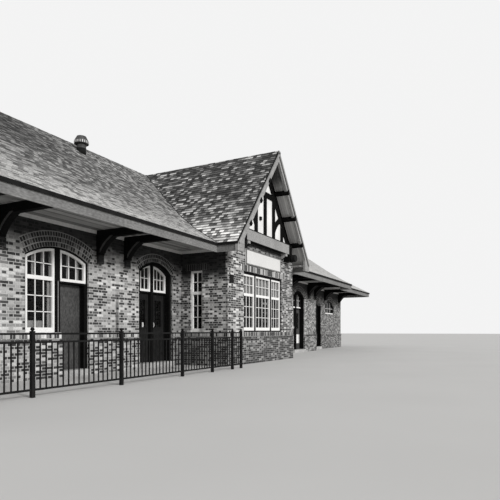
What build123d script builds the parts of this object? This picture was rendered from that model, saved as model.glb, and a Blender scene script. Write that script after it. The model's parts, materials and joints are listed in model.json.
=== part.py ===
from build123d import *
import math
import os

# Brick railway station with a half-timbered bay gable, long bell-cast hip roofs and deep
# bracketed eaves. Millimetres. x runs along the platform, -y faces the tracks, +z is up.
# The origin is on the ground under the main ridge, on the centre line of the bay.

# Walls and plan
WALL_T = 400
MAIN_HALF_X = 10390
MAIN_HALF_Y = 3610
BAY_HALF_X = 2620
BAY_OUT = 1760
END_LENGTH = 6870
END_HALF_Y = 2960
WALL_TOP = 3700
PLINTH_TOP = 840
PLINTH_OUT = 30
LEDGE_H = 70
LEDGE_OUT = 45
FLOOR_TOP = 150
STEP_OUT = 90

# Eaves and roofs
EAVE_OUT = 1620
CEILING_T = 50
DRIP = 40
DRIP_OUT = 30
FASCIA_T = 30
FASCIA_BOTTOM = 3510
KICK_RUN = 1230
KICK_SLOPE = 0.55
BEND_RUN = 1000
BEND_SLOPE = 0.67
ROOF_SLOPE = 0.775
ROOF_DROP = 220
BAY_EAVE_OUT = 390
VERGE_OUT = 580
BAY_ROOF_T = 120

# Platform doorways: jambs, arch springing and crown
WIDE_IN = 6630
WIDE_OUT = 8490
WIDE_SPRING = 2820
WIDE_CROWN = 3090
PAIR_IN = 3110
PAIR_OUT = 4700
PAIR_SPRING = 2880
PAIR_CROWN = 3190
PAIR_SHIFT = 11700

# Timber frames, sashes and doors
SILL_Z = 1070
FRAME_W = 45
SASH_W = 60
SASH_T = 60
GLASS_T = 6
RAIL_Z = 2280
RAIL_H = 90
MULLION_AT = 850
MULLION_W = 155
POST_W = 130
BAR_H = 45
WINDOW_SET = 60
PAIR_POST_SET = 165
PAIR_SET = 185
DOOR_SET = 200
PAIR_DOOR_SET = 250
DOOR_T = 45
DOOR_TOP = 2240
DOOR_GAP = 8
HINGE_GAP = 12
KNUCKLE_R = 7
GLASS_CUTS = 6
KNUCKLE_H = 60
HINGE_Z = (420, 1900)
SILL_GAP = 10
JAMB_W = 100
POST_BACK = 310
FRAME_STEP = 15
STOP_LIP = 18
STOP_GAP = 6
STOP_T = 30
LITE_SIDE = 150
LITE_Z = (1220, 2040)

# Bay windows
BAY_WINDOW_HALF = 1550
BAY_WINDOW_TOP = 3095
BAY_HEAD_H = 85
BAY_MULLION_AT = 640
BAY_MULLION_W = 90
SIDE_WINDOW_Y = -4204
SIDE_WINDOW_W = 460
SIDE_WINDOW_TOP = 3040

# End sections
END_DOOR_IN = 11300
END_DOOR_OUT = 13050
END_DOOR_SPRING = 2650
END_DOOR_CROWN = 2950
END_WINDOW_IN = 13950
END_WINDOW_OUT = 15750
END_WINDOW_SILL = 2200
END_WINDOW_SPRING = 2700
END_WINDOW_CROWN = 3060

# Bay gable
GABLE_FACE = 60
STUCCO_BACK = 45
TIE_BOTTOM = 4075
TIE_TOP = 4440
TIE_OUT = 230
TIE_HALF_X = 1750
FOOT_BLOCK_X = 2050
FOOT_BLOCK_Z = 3800
TIE_BLOCK_AT = 1550
TIE_BLOCK_W = 160
TIE_BLOCK_H = 200
STUD_W = 200
STUD_AT = (720, 1470)
RAFTER_W = 300
COLLAR_Z = 5900
COLLAR_H = 190
BRACE_LOWER = ((720, 4500), (900, 4870), (1330, 5230))
BRACE_UPPER = ((720, 5010), (930, 5190), (1250, 5420))
BARGE_W = 215
BARGE_T = 90
FOOT_W = 420
OUTLOOKER = 140
OUTLOOKER_AT = (800, 1470, 2200)
OUTLOOKER_OUT = 40
SIGN_X = (-1450, 1350)
SIGN_Z = (3330, 3835)
SIGN_T = 40
LAMP_X = 1920
LAMP_Z = 3930
LAMP_R = 140
LAMP_H = 160
LAMP_STEM = 50
LAMP_STEM_W = 60

# Eave brackets
BRACKET_T = 150
BRACKET_FOOT = 3060
BRACKET_POST = 140
BRACKET_ARM = 190
BRACE_END = 580
BRACE_FOOT = 3100
BRACE_SAG = 45
BRACE_CUTS = 4
CORBEL_OUT = 100
CORBEL_H = 220
PAIR_STEP = 1030
MAIN_PAIRS = (5260, 9120)
BACK_PAIRS = (1400, 5260, 9120)
END_BRACKETS = (13780, 16740)

# Roof vent
VENT_X = -4000
VENT_Y = -590
VENT_NECK_R = 110
VENT_CAP_R = 230
VENT_RISE = 520
VENT_SINK = 300

# Platform railing
FENCE_Y = -6060
FENCE_POSTS = (-12360, -10245, -8130, -6000, -4627, -3540, -3020)
POST_SIZE = 64
POST_H = 1100
KNOB_R = 38
KNOB_H = 30
KNOB_TAPER = 30
RAIL_TOP = 1070
RAIL_GAP = 140
RAIL_LOW = 110
RAIL_SIZE = 34
PICKET = 20
PICKET_STEP = 122

# Worked out from the sizes above
BAY_FRONT = -(MAIN_HALF_Y + BAY_OUT)
END_X = MAIN_HALF_X + END_LENGTH
EAVE_BASE = WALL_TOP + CEILING_T
EAVE_TOP = EAVE_BASE + DRIP
MAIN_EAVE_X = MAIN_HALF_X + EAVE_OUT
MAIN_EAVE_Y = MAIN_HALF_Y + EAVE_OUT
END_EAVE_X = END_X + EAVE_OUT
END_EAVE_Y = END_HALF_Y + EAVE_OUT
BAY_EAVE_X = BAY_HALF_X + BAY_EAVE_OUT
BAY_SASH_TOP = BAY_WINDOW_TOP - BAY_HEAD_H
VERGE_Y = BAY_FRONT - VERGE_OUT
BEND_RISE = KICK_RUN * KICK_SLOPE + BEND_RUN * BEND_SLOPE
RIDGE_Z = EAVE_TOP + BEND_RISE + (MAIN_EAVE_Y - KICK_RUN - BEND_RUN) * ROOF_SLOPE
BAY_SLOPE = (RIDGE_Z - EAVE_TOP) / BAY_EAVE_X
BAY_ANGLE = math.atan(BAY_SLOPE)
BAY_DROP = BAY_ROOF_T / math.cos(BAY_ANGLE)
BAY_INNER_X = BAY_EAVE_X - (BAY_DROP - DRIP) / BAY_SLOPE
SOFFIT_IN = DRIP_OUT + FASCIA_T
GABLE_Y = BAY_FRONT - GABLE_FACE
MARGIN = 160

os.makedirs("parts", exist_ok=True)


def at_y(y):
    """Vertical plane facing -y, on which local y is height."""
    return Plane.XZ.offset(-y)


def block(x, y, z, mode=Mode.ADD):
    """Adds a box given by its low and high x, y and z to the part being built."""
    centre = ((x[0] + x[1]) / 2, (y[0] + y[1]) / 2, (z[0] + z[1]) / 2)
    with Locations(centre):
        Box(x[1] - x[0], y[1] - y[0], z[1] - z[0], mode=mode)


def outline(points, mode=Mode.ADD):
    """Adds the closed polygon through the points to the sketch being built."""
    with BuildLine() as line:
        Polyline(*points, close=True)
    make_face(line.edges(), mode=mode)


def save(built, name):
    """Labels a finished piece and writes its file."""
    built.part.label = name
    export_step(built.part, f"parts/{name}.step")


def both_sides(low, high):
    """The span low..high on the +x side and its mirror on the -x side."""
    return ((low, high), (-high, -low))


def arc_points(centre, radius, start, sweep, cuts):
    """Points along an arc, angles in degrees."""
    points = []
    for k in range(cuts + 1):
        angle = math.radians(start + sweep * k / cuts)
        points.append((centre[0] + radius * math.cos(angle), centre[1] + radius * math.sin(angle)))
    return points


# Arched openings
def arch_circle(x, spring, crown):
    """Centre height and radius of the segmental arch over the opening."""
    half = (x[1] - x[0]) / 2
    rise = crown - spring
    radius = (half**2 + rise**2) / (2 * rise)
    return crown - radius, radius


def arch_sketch(x, bottom, spring, crown, inset=0.0):
    """Adds an opening with an arched head to the sketch, shrunk by inset at jambs and head."""
    centre_z, radius = arch_circle(x, spring, crown)
    middle = (x[0] + x[1]) / 2
    half = (x[1] - x[0]) / 2 - inset
    radius = radius - inset
    start = centre_z + math.sqrt(radius**2 - half**2)
    with BuildLine() as line:
        Polyline(
            (middle - half, start),
            (middle - half, bottom),
            (middle + half, bottom),
            (middle + half, start),
        )
        ThreePointArc(
            (middle + half, start),
            (middle, centre_z + radius),
            (middle - half, start),
        )
    make_face(line.edges())


def keep_box(x, z):
    """Keeps only the part of the sketch inside the rectangle."""
    with Locations(((x[0] + x[1]) / 2, (z[0] + z[1]) / 2)):
        Rectangle(x[1] - x[0], z[1] - z[0], mode=Mode.INTERSECT)


WIDE = (WIDE_SPRING, WIDE_CROWN)
PAIR = (PAIR_SPRING, PAIR_CROWN)
END_DOOR = (END_DOOR_SPRING, END_DOOR_CROWN)
END_WINDOW = (END_WINDOW_SPRING, END_WINDOW_CROWN)
WIDE_LEFT = (-WIDE_OUT, -WIDE_IN)
WIDE_RIGHT = (WIDE_IN, WIDE_OUT)
PAIR_LEFT = (-PAIR_OUT, -PAIR_IN)
PAIR_RIGHT = (PAIR_IN, PAIR_OUT)
FAR_PAIR = (PAIR_SHIFT - PAIR_OUT, PAIR_SHIFT - PAIR_IN)

# In the wide opening the window is on the left and the door on the right
MULLION_LEFT = (-WIDE_OUT + MULLION_AT, -WIDE_OUT + MULLION_AT + MULLION_W)
BACK_OPENINGS = (WIDE_LEFT, WIDE_RIGHT, PAIR_LEFT, PAIR_RIGHT, (-795, 795))


# Bracket spots as (x, y, degrees about z), used for the corbels and the brackets
def row_spots(y, turn, starts, steps=(0, PAIR_STEP)):
    spots = []
    for start in starts:
        for x in [start + step for step in steps]:
            spots.append((x, y, turn))
            spots.append((-x, y, turn))
    return spots


FRONT_SPOTS = row_spots(-MAIN_HALF_Y, 0, MAIN_PAIRS)
BACK_SPOTS = row_spots(MAIN_HALF_Y, 180, BACK_PAIRS)
END_SPOTS = row_spots(-END_HALF_Y, 0, END_BRACKETS, (0,)) + row_spots(END_HALF_Y, 180, END_BRACKETS, (0,))
END_SPOTS += [(side * END_X, y, side * 90) for side in (-1, 1) for y in (-1500, 1500)]

# Brickwork as one mass, from which each wall is taken
with BuildPart() as masonry:
    for grow, low, high in (
        (PLINTH_OUT, 0, PLINTH_TOP),
        (LEDGE_OUT, PLINTH_TOP, PLINTH_TOP + LEDGE_H),
        (0, PLINTH_TOP + LEDGE_H, WALL_TOP),
    ):
        with BuildSketch(Plane.XY.offset(low)):
            Rectangle(2 * (MAIN_HALF_X + grow), 2 * (MAIN_HALF_Y + grow))
            Rectangle(2 * (END_X + grow), 2 * (END_HALF_Y + grow))
            with Locations((0, (BAY_FRONT - grow) / 2)):
                Rectangle(2 * (BAY_HALF_X + grow), -(BAY_FRONT - grow))
        extrude(amount=high - low)
    # Corbels that carry the bracket feet
    with BuildSketch(Plane.XY.offset(BRACKET_FOOT - CORBEL_H)):
        for x, y, turn in FRONT_SPOTS + BACK_SPOTS + END_SPOTS:
            with Locations(Location((x, y, 0), (0, 0, turn))):
                Rectangle(BRACKET_T + 50, 2 * CORBEL_OUT)
    extrude(amount=CORBEL_H)
    # Rooms
    with BuildSketch(Plane.XY):
        Rectangle(2 * (MAIN_HALF_X - WALL_T), 2 * (MAIN_HALF_Y - WALL_T))
        with Locations((0, (BAY_FRONT + WALL_T) / 2)):
            Rectangle(2 * (BAY_HALF_X - WALL_T), -(BAY_FRONT + WALL_T))
        for side in (-1, 1):
            with Locations((side * (MAIN_HALF_X + (END_LENGTH - WALL_T) / 2), 0)):
                Rectangle(END_LENGTH - WALL_T, 2 * (END_HALF_Y - WALL_T))
    extrude(amount=WALL_TOP, mode=Mode.SUBTRACT)
    # Platform doorways and windows
    for x, head in ((WIDE_LEFT, WIDE), (PAIR_LEFT, PAIR), (FAR_PAIR, PAIR)):
        with BuildSketch(at_y(-MAIN_HALF_Y + WALL_T)):
            arch_sketch(x, 0, *head)
        extrude(amount=WALL_T + MARGIN, mode=Mode.SUBTRACT)
    with BuildSketch(at_y(-MAIN_HALF_Y + WALL_T)):
        arch_sketch(PAIR_RIGHT, SILL_Z, *PAIR)
    extrude(amount=WALL_T + MARGIN, mode=Mode.SUBTRACT)
    # Back windows
    for x in BACK_OPENINGS:
        head = WIDE if x in (WIDE_LEFT, WIDE_RIGHT) else PAIR
        with BuildSketch(at_y(MAIN_HALF_Y + MARGIN)):
            arch_sketch(x, SILL_Z, *head)
        extrude(amount=WALL_T + MARGIN, mode=Mode.SUBTRACT)
    # Bay windows
    block(
        (-BAY_WINDOW_HALF, BAY_WINDOW_HALF),
        (BAY_FRONT - MARGIN, BAY_FRONT + WALL_T),
        (SILL_Z, BAY_WINDOW_TOP),
        Mode.SUBTRACT,
    )
    for span in both_sides(BAY_HALF_X - WALL_T, BAY_HALF_X + MARGIN):
        block(
            span,
            (SIDE_WINDOW_Y - SIDE_WINDOW_W / 2, SIDE_WINDOW_Y + SIDE_WINDOW_W / 2),
            (SILL_Z, SIDE_WINDOW_TOP),
            Mode.SUBTRACT,
        )
    # End sections: a wide doorway and a high arched window each
    for span in both_sides(END_DOOR_IN, END_DOOR_OUT):
        with BuildSketch(at_y(-END_HALF_Y + WALL_T)):
            arch_sketch(span, 0, *END_DOOR)
        extrude(amount=WALL_T + MARGIN, mode=Mode.SUBTRACT)
    for span in both_sides(END_WINDOW_IN, END_WINDOW_OUT):
        for y in (-END_HALF_Y + WALL_T, END_HALF_Y + MARGIN):
            with BuildSketch(at_y(y)):
                arch_sketch(span, END_WINDOW_SILL, *END_WINDOW)
            extrude(amount=WALL_T + MARGIN, mode=Mode.SUBTRACT)


def wall(name, boxes):
    """Writes the brickwork inside the boxes as one node."""
    with BuildPart() as region:
        for x, y, z in boxes:
            block(x, y, z)
    with BuildPart() as piece:
        add(masonry.part)
        add(region.part, mode=Mode.INTERSECT)
    save(piece, name)


FRONT_BAND = (-MAIN_HALF_Y - MARGIN, -MAIN_HALF_Y + WALL_T)
BAY_CORNER = (-MAIN_HALF_Y, -MAIN_HALF_Y + WALL_T)
FULL = (0, WALL_TOP)
INNER_BAY = BAY_HALF_X - WALL_T
FAR_X = MAIN_HALF_X + MARGIN
ABOVE_DOOR = (DOOR_TOP + DOOR_GAP, WALL_TOP)

wall(
    "front_wall_left_piers",
    [
        ((-FAR_X, -WIDE_OUT), FRONT_BAND, FULL),
        ((-WIDE_IN, -PAIR_OUT), FRONT_BAND, FULL),
        ((-PAIR_IN, -BAY_HALF_X - LEDGE_OUT), FRONT_BAND, FULL),
        ((-BAY_HALF_X - LEDGE_OUT, -INNER_BAY), BAY_CORNER, FULL),
    ],
)
wall(
    "front_wall_right_piers",
    [
        ((INNER_BAY, BAY_HALF_X + LEDGE_OUT), BAY_CORNER, FULL),
        ((BAY_HALF_X + LEDGE_OUT, PAIR_IN), FRONT_BAND, FULL),
        ((PAIR_OUT, FAR_PAIR[0]), FRONT_BAND, FULL),
        ((FAR_PAIR[1], FAR_X), FRONT_BAND, FULL),
    ],
)
wall(
    "front_wall_arches",
    [
        (WIDE_LEFT, FRONT_BAND, ABOVE_DOOR),
        (PAIR_LEFT, FRONT_BAND, ABOVE_DOOR),
        (PAIR_RIGHT, FRONT_BAND, ABOVE_DOOR),
        (FAR_PAIR, FRONT_BAND, ABOVE_DOOR),
    ],
)
BACK_BAND = (MAIN_HALF_Y - WALL_T, MAIN_HALF_Y + MARGIN)
wall("back_wall", [((-FAR_X, FAR_X), BACK_BAND, FULL)])
SIDE_BAND = (BAY_FRONT + WALL_T, -MAIN_HALF_Y)
wall(
    "bay_side_walls",
    [(span, SIDE_BAND, FULL) for span in both_sides(INNER_BAY, BAY_HALF_X + LEDGE_OUT)],
)
INNER_Y = MAIN_HALF_Y - WALL_T
LINK_Y = END_HALF_Y + MARGIN
cross = []
for span in both_sides(MAIN_HALF_X - WALL_T, MAIN_HALF_X):
    cross.append((span, (-INNER_Y, INNER_Y), FULL))
for span in both_sides(MAIN_HALF_X, FAR_X):
    cross.append((span, (-INNER_Y, -LINK_Y), FULL))
    cross.append((span, (LINK_Y, INNER_Y), FULL))
wall("main_end_walls", cross)
END_SPAN = both_sides(MAIN_HALF_X, END_X + MARGIN)
END_FRONT = (-LINK_Y, -END_HALF_Y + WALL_T)
wall("end_section_front_walls", [(span, END_FRONT, FULL) for span in END_SPAN])
END_BACK = (END_HALF_Y - WALL_T, LINK_Y)
wall("end_section_back_walls", [(span, END_BACK, FULL) for span in END_SPAN])
OUTER_SPAN = both_sides(END_X - WALL_T, END_X + MARGIN)
BETWEEN = (-END_HALF_Y + WALL_T, END_HALF_Y - WALL_T)
wall("end_section_outer_walls", [(span, BETWEEN, FULL) for span in OUTER_SPAN])

# Bay front: brick up to the tie beam, its upper corners cut to the roof
def under_bay_roof(z):
    """Half width between the undersides of the bay roof at height z."""
    return BAY_INNER_X - (z - EAVE_BASE) / BAY_SLOPE


with BuildPart() as bay_front_wall:
    add(masonry.part)
    block(
        (-BAY_HALF_X - LEDGE_OUT, BAY_HALF_X + LEDGE_OUT),
        (BAY_FRONT - LEDGE_OUT, BAY_FRONT + WALL_T),
        FULL,
        Mode.INTERSECT,
    )
    corner_z = EAVE_BASE + (BAY_INNER_X - BAY_HALF_X) * BAY_SLOPE
    with BuildSketch(at_y(BAY_FRONT + WALL_T)):
        outline(
            [
                (-BAY_HALF_X, WALL_TOP),
                (BAY_HALF_X, WALL_TOP),
                (BAY_HALF_X, corner_z),
                (under_bay_roof(TIE_TOP), TIE_TOP),
                (-under_bay_roof(TIE_TOP), TIE_TOP),
                (-BAY_HALF_X, corner_z),
            ]
        )
    extrude(amount=WALL_T)
save(bay_front_wall, "bay_front_wall")

# Brick aprons under the tall window beside the wide doorway and under the window right of the bay
with BuildPart() as window_aprons:
    for x in ((-WIDE_OUT, MULLION_LEFT[1]), PAIR_RIGHT):
        block(x, (-MAIN_HALF_Y, -MAIN_HALF_Y + WALL_T), (0, SILL_Z))
        block(x, (-MAIN_HALF_Y - LEDGE_OUT, -MAIN_HALF_Y), (PLINTH_TOP, PLINTH_TOP + LEDGE_H))
        block(x, (-MAIN_HALF_Y - PLINTH_OUT, -MAIN_HALF_Y), (0, PLINTH_TOP))
save(window_aprons, "window_aprons")

# Floors inside the walls, and a step in each doorway
with BuildPart() as floor:
    block(
        (-MAIN_HALF_X + WALL_T, MAIN_HALF_X - WALL_T),
        (-INNER_Y, INNER_Y),
        (0, FLOOR_TOP),
    )
    for span in both_sides(MAIN_HALF_X, END_X - WALL_T):
        block(span, BETWEEN, (0, FLOOR_TOP))
save(floor, "floor")

with BuildPart() as bay_floor:
    block((-INNER_BAY, INNER_BAY), (BAY_FRONT + WALL_T, -INNER_Y), (0, FLOOR_TOP))
save(bay_floor, "bay_floor")

WIDE_DOORWAY = (MULLION_LEFT[1], -WIDE_IN)
with BuildPart() as door_steps:
    for x in (WIDE_DOORWAY, PAIR_LEFT, FAR_PAIR):
        block(x, (-MAIN_HALF_Y - STEP_OUT, -INNER_Y), (0, FLOOR_TOP))
    for span in both_sides(END_DOOR_IN, END_DOOR_OUT):
        block(span, (-END_HALF_Y - STEP_OUT, -END_HALF_Y + WALL_T), (0, FLOOR_TOP))
save(door_steps, "door_steps")

# Ceiling and soffit boarding on the wall tops
with BuildPart() as main_ceiling:
    block(
        (-MAIN_EAVE_X + SOFFIT_IN, MAIN_EAVE_X - SOFFIT_IN),
        (-MAIN_EAVE_Y + SOFFIT_IN, MAIN_EAVE_Y - SOFFIT_IN),
        (WALL_TOP, EAVE_BASE),
    )
    block(
        (-BAY_HALF_X, BAY_HALF_X),
        (-MAIN_EAVE_Y, BAY_FRONT + WALL_T),
        (WALL_TOP, EAVE_BASE),
        Mode.SUBTRACT,
    )
save(main_ceiling, "main_ceiling")

with BuildPart() as outer_soffits:
    for span in both_sides(MAIN_EAVE_X - SOFFIT_IN, END_EAVE_X - SOFFIT_IN):
        block(
            span,
            (-END_EAVE_Y + SOFFIT_IN, END_EAVE_Y - SOFFIT_IN),
            (WALL_TOP, EAVE_BASE),
        )
    for span in both_sides(BAY_HALF_X, BAY_EAVE_X - SOFFIT_IN):
        block(
            span,
            (VERGE_Y + BARGE_T, -MAIN_EAVE_Y + SOFFIT_IN),
            (WALL_TOP, EAVE_BASE),
        )
save(outer_soffits, "outer_soffits")


# Roofs
def roof_points(half, drop=0.0):
    """Bell-cast roof section over a half width, lowered by drop for the inside."""
    foot = half - max(drop - DRIP, 0) / KICK_SLOPE
    kick = half - KICK_RUN
    bend = kick - BEND_RUN
    kick_z = EAVE_TOP + KICK_RUN * KICK_SLOPE - drop
    bend_z = kick_z + BEND_RUN * BEND_SLOPE
    top_z = bend_z + bend * ROOF_SLOPE
    side = [(foot, EAVE_BASE), (kick, kick_z), (bend, bend_z), (0, top_z)]
    if drop == 0:
        side.insert(1, (half, EAVE_TOP))
    return side


def ridged_outline(half, drop=0.0):
    """The whole section, ridge in the middle."""
    side = roof_points(half, drop)
    return side + [(-a, z) for a, z in side[-2::-1]]


def hipped_outline(far, half, drop=0.0, near=None):
    """Long section with a hip at far, and a second one at near or its mirror."""
    side = roof_points(half, drop)
    hip = [(far - half + a, z) for a, z in side]
    if near is None:
        return hip + [(-a, z) for a, z in hip[::-1]]
    return hip + [(near, side[-1][1]), (near, EAVE_BASE)]


def mirror_x(points):
    return [(-a, z) for a, z in points]


def hip_solid(half_y, length_outline):
    """Solid under a hipped roof: the cross section met by the long one."""
    with BuildPart() as solid:
        with BuildSketch(Plane.YZ):
            outline(half_y)
        extrude(amount=END_EAVE_X, both=True)
        with BuildSketch(Plane.XZ):
            outline(length_outline)
        extrude(amount=2 * MAIN_EAVE_Y, both=True, mode=Mode.INTERSECT)
    return solid.part


END_ROOF_START = MAIN_EAVE_X - MAIN_EAVE_Y
main_outer = hip_solid(ridged_outline(MAIN_EAVE_Y), hipped_outline(MAIN_EAVE_X, MAIN_EAVE_Y))
main_inner = hip_solid(
    ridged_outline(MAIN_EAVE_Y, ROOF_DROP),
    hipped_outline(MAIN_EAVE_X, MAIN_EAVE_Y, ROOF_DROP),
)
end_long = hipped_outline(END_EAVE_X, END_EAVE_Y, near=END_ROOF_START)
end_long_inner = hipped_outline(END_EAVE_X, END_EAVE_Y, ROOF_DROP, near=END_ROOF_START)
end_outer = []
end_inner = []
for turn in (list, mirror_x):
    end_outer.append(hip_solid(ridged_outline(END_EAVE_Y), turn(end_long)))
    end_inner.append(hip_solid(ridged_outline(END_EAVE_Y, ROOF_DROP), turn(end_long_inner)))

with BuildPart() as bay_outer:
    with BuildSketch(Plane.XZ):
        outline(
            [
                (-BAY_EAVE_X, EAVE_BASE),
                (-BAY_EAVE_X, EAVE_TOP),
                (0, RIDGE_Z),
                (BAY_EAVE_X, EAVE_TOP),
                (BAY_EAVE_X, EAVE_BASE),
            ]
        )
    extrude(amount=-VERGE_Y)

with BuildPart() as bay_inner:
    with BuildSketch(Plane.XZ):
        outline([(-BAY_INNER_X, EAVE_BASE), (0, RIDGE_Z - BAY_DROP), (BAY_INNER_X, EAVE_BASE)])
    extrude(amount=-VERGE_Y)

with BuildPart() as main_roof:
    add(main_outer)
    add(main_inner, mode=Mode.SUBTRACT)
    add(bay_outer.part, mode=Mode.SUBTRACT)
    for solid in end_outer:
        add(solid, mode=Mode.SUBTRACT)
save(main_roof, "main_roof")

with BuildPart() as bay_roof:
    add(bay_outer.part)
    add(bay_inner.part, mode=Mode.SUBTRACT)
    add(main_inner, mode=Mode.SUBTRACT)
    # Rebate for the barge boards
    with BuildSketch(at_y(VERGE_Y + BARGE_T)):
        outline([(-BAY_EAVE_X, EAVE_BASE), (0, RIDGE_Z - DRIP), (BAY_EAVE_X, EAVE_BASE)])
    extrude(amount=BARGE_T, mode=Mode.SUBTRACT)
save(bay_roof, "bay_roof")

for name, outer, inner in zip(("end_roof_right", "end_roof_left"), end_outer, end_inner):
    with BuildPart() as end_roof:
        add(outer)
        add(inner, mode=Mode.SUBTRACT)
        add(main_inner, mode=Mode.SUBTRACT)
    save(end_roof, name)

# Eave fascias: long boards in one node, short returns in another
FASCIA_Z = (FASCIA_BOTTOM, EAVE_BASE)
with BuildPart() as long_fascias:
    outer_y = MAIN_EAVE_Y - DRIP_OUT
    for span in both_sides(BAY_EAVE_X - DRIP_OUT, MAIN_EAVE_X - DRIP_OUT):
        block(span, (-outer_y, -outer_y + FASCIA_T), FASCIA_Z)
    block((-MAIN_EAVE_X + DRIP_OUT, MAIN_EAVE_X - DRIP_OUT), (outer_y - FASCIA_T, outer_y), FASCIA_Z)
    for span in both_sides(MAIN_EAVE_X - DRIP_OUT, END_EAVE_X - DRIP_OUT):
        for y in (-END_EAVE_Y + DRIP_OUT, END_EAVE_Y - DRIP_OUT - FASCIA_T):
            block(span, (y, y + FASCIA_T), FASCIA_Z)
save(long_fascias, "long_fascias")

with BuildPart() as return_fascias:
    inner_y = MAIN_EAVE_Y - SOFFIT_IN
    for span in both_sides(MAIN_EAVE_X - SOFFIT_IN, MAIN_EAVE_X - DRIP_OUT):
        for y in ((-inner_y, -END_EAVE_Y + SOFFIT_IN), (END_EAVE_Y - SOFFIT_IN, inner_y)):
            block(span, y, FASCIA_Z)
    for span in both_sides(END_EAVE_X - SOFFIT_IN, END_EAVE_X - DRIP_OUT):
        block(span, (-END_EAVE_Y + SOFFIT_IN, END_EAVE_Y - SOFFIT_IN), FASCIA_Z)
    for span in both_sides(BAY_EAVE_X - SOFFIT_IN, BAY_EAVE_X - DRIP_OUT):
        block(span, (VERGE_Y + BARGE_T, -MAIN_EAVE_Y + DRIP_OUT), FASCIA_Z)
save(return_fascias, "return_fascias")


# Eave brackets: wall post, arm under the soffit and a curved brace
def bracket_sketch(reach):
    """Side view of a bracket, local x outward from the wall and local y up."""
    arm_z = WALL_TOP - BRACKET_ARM
    run = BRACE_END - BRACKET_POST
    rise = arm_z - BRACE_FOOT
    span = math.hypot(run, rise)
    radius = (span**2 / 4 + BRACE_SAG**2) / (2 * BRACE_SAG)
    away = (radius - BRACE_SAG) / span
    centre = ((BRACE_END + BRACKET_POST) / 2 + away * rise, (arm_z + BRACE_FOOT) / 2 - away * run)
    start = math.degrees(math.atan2(arm_z - centre[1], BRACE_END - centre[0]))
    sweep = 2 * math.degrees(math.asin(span / 2 / radius))
    corners = [(BRACKET_POST, BRACKET_FOOT), (0, BRACKET_FOOT), (0, WALL_TOP), (reach, WALL_TOP), (reach, arm_z)]
    outline(corners + arc_points(centre, radius, start, sweep, BRACE_CUTS))


def bracket_solid(reach):
    """One bracket on a wall face at y = 0, reaching towards -y, centred on x = 0."""
    with BuildPart() as bracket:
        with BuildSketch(Plane(origin=(0, 0, 0), x_dir=(0, -1, 0), z_dir=(-1, 0, 0))):
            bracket_sketch(reach)
        extrude(amount=BRACKET_T / 2, both=True)
    return bracket.part


REACH = EAVE_OUT - SOFFIT_IN
BRACKET = bracket_solid(REACH)


def bracket_row(name, spots):
    """Writes brackets at (x, y, degrees about z) as one node."""
    with BuildPart() as row:
        for x, y, turn in spots:
            with Locations(Location((x, y, 0), (0, 0, turn))):
                add(BRACKET)
    save(row, name)


bracket_row("front_brackets", FRONT_SPOTS)
bracket_row("back_brackets", BACK_SPOTS)
bracket_row("end_section_brackets", END_SPOTS)


# Sashes and glass
def sash(x, sill, head, setback, rails, keep=None, bottom_rail=110, inset=FRAME_W, face_y=-MAIN_HALF_Y, out=-1):
    """A white sash frame with an arched head and its rails, added to the part being built."""
    front = face_y - out * setback
    back = front - out * SASH_T
    with BuildSketch(at_y(max(front, back))) as whole:
        arch_sketch(x, sill, *head, inset=inset)
        if keep:
            keep_box(keep, (sill, head[1]))
    extrude(whole.sketch, amount=SASH_T)
    levels = [sill + bottom_rail] + [z for rail in rails for z in (rail, rail + RAIL_H)] + [head[1]]
    left = (keep or x)[0] + SASH_W
    right = (keep or x)[1] - SASH_W
    if keep is None or keep[0] <= x[0] + inset:
        left = x[0] + inset + SASH_W
    if keep is None or keep[1] >= x[1] - inset:
        right = x[1] - inset - SASH_W
    for low, high in zip(levels[0::2], levels[1::2]):
        with BuildSketch(at_y(max(front, back))) as lite:
            arch_sketch(x, sill, *head, inset=inset + SASH_W)
            keep_box((left, right), (low, high))
        extrude(lite.sketch, amount=SASH_T, mode=Mode.SUBTRACT)


def pane(x, sill, head, setback, keep=None, frame=FRAME_W, face_y=-MAIN_HALF_Y, out=-1):
    """The sheet of glass behind a sash."""
    front = face_y - out * (setback + SASH_T)
    back = front - out * GLASS_T
    inset = frame + SASH_W / 3
    centre_z, radius = arch_circle(x, *head)
    middle = (x[0] + x[1]) / 2
    half = (x[1] - x[0]) / 2 - inset
    sweep = 2 * math.degrees(math.asin(half / (radius - inset)))
    top = arc_points((middle, centre_z), radius - inset, 90 + sweep / 2, -sweep, GLASS_CUTS)
    with BuildSketch(at_y(max(front, back))) as sheet:
        outline(top + [(middle + half, sill), (middle - half, sill)])
        if keep:
            keep_box((keep[0] + SASH_W / 3, keep[1] - SASH_W / 3), (sill + SASH_W / 3, head[1]))
        else:
            keep_box(x, (sill + SASH_W / 3, head[1]))
    extrude(sheet.sketch, amount=GLASS_T)


BAR_Z = (DOOR_TOP + DOOR_GAP, DOOR_TOP + DOOR_GAP + BAR_H)
WIDE_WINDOW = (-WIDE_OUT, MULLION_LEFT[0])
WIDE_TRANSOM = (MULLION_LEFT[1], -WIDE_IN)
PAIR_MIDDLE = -(PAIR_IN + PAIR_OUT) / 2
PAIR_POST = (PAIR_MIDDLE - POST_W / 2, PAIR_MIDDLE + POST_W / 2)
PAIR_LIGHTS = ((-PAIR_OUT, PAIR_POST[0]), (PAIR_POST[1], -PAIR_IN))


def shifted(span, shift):
    return (span[0] + shift, span[1] + shift)


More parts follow.
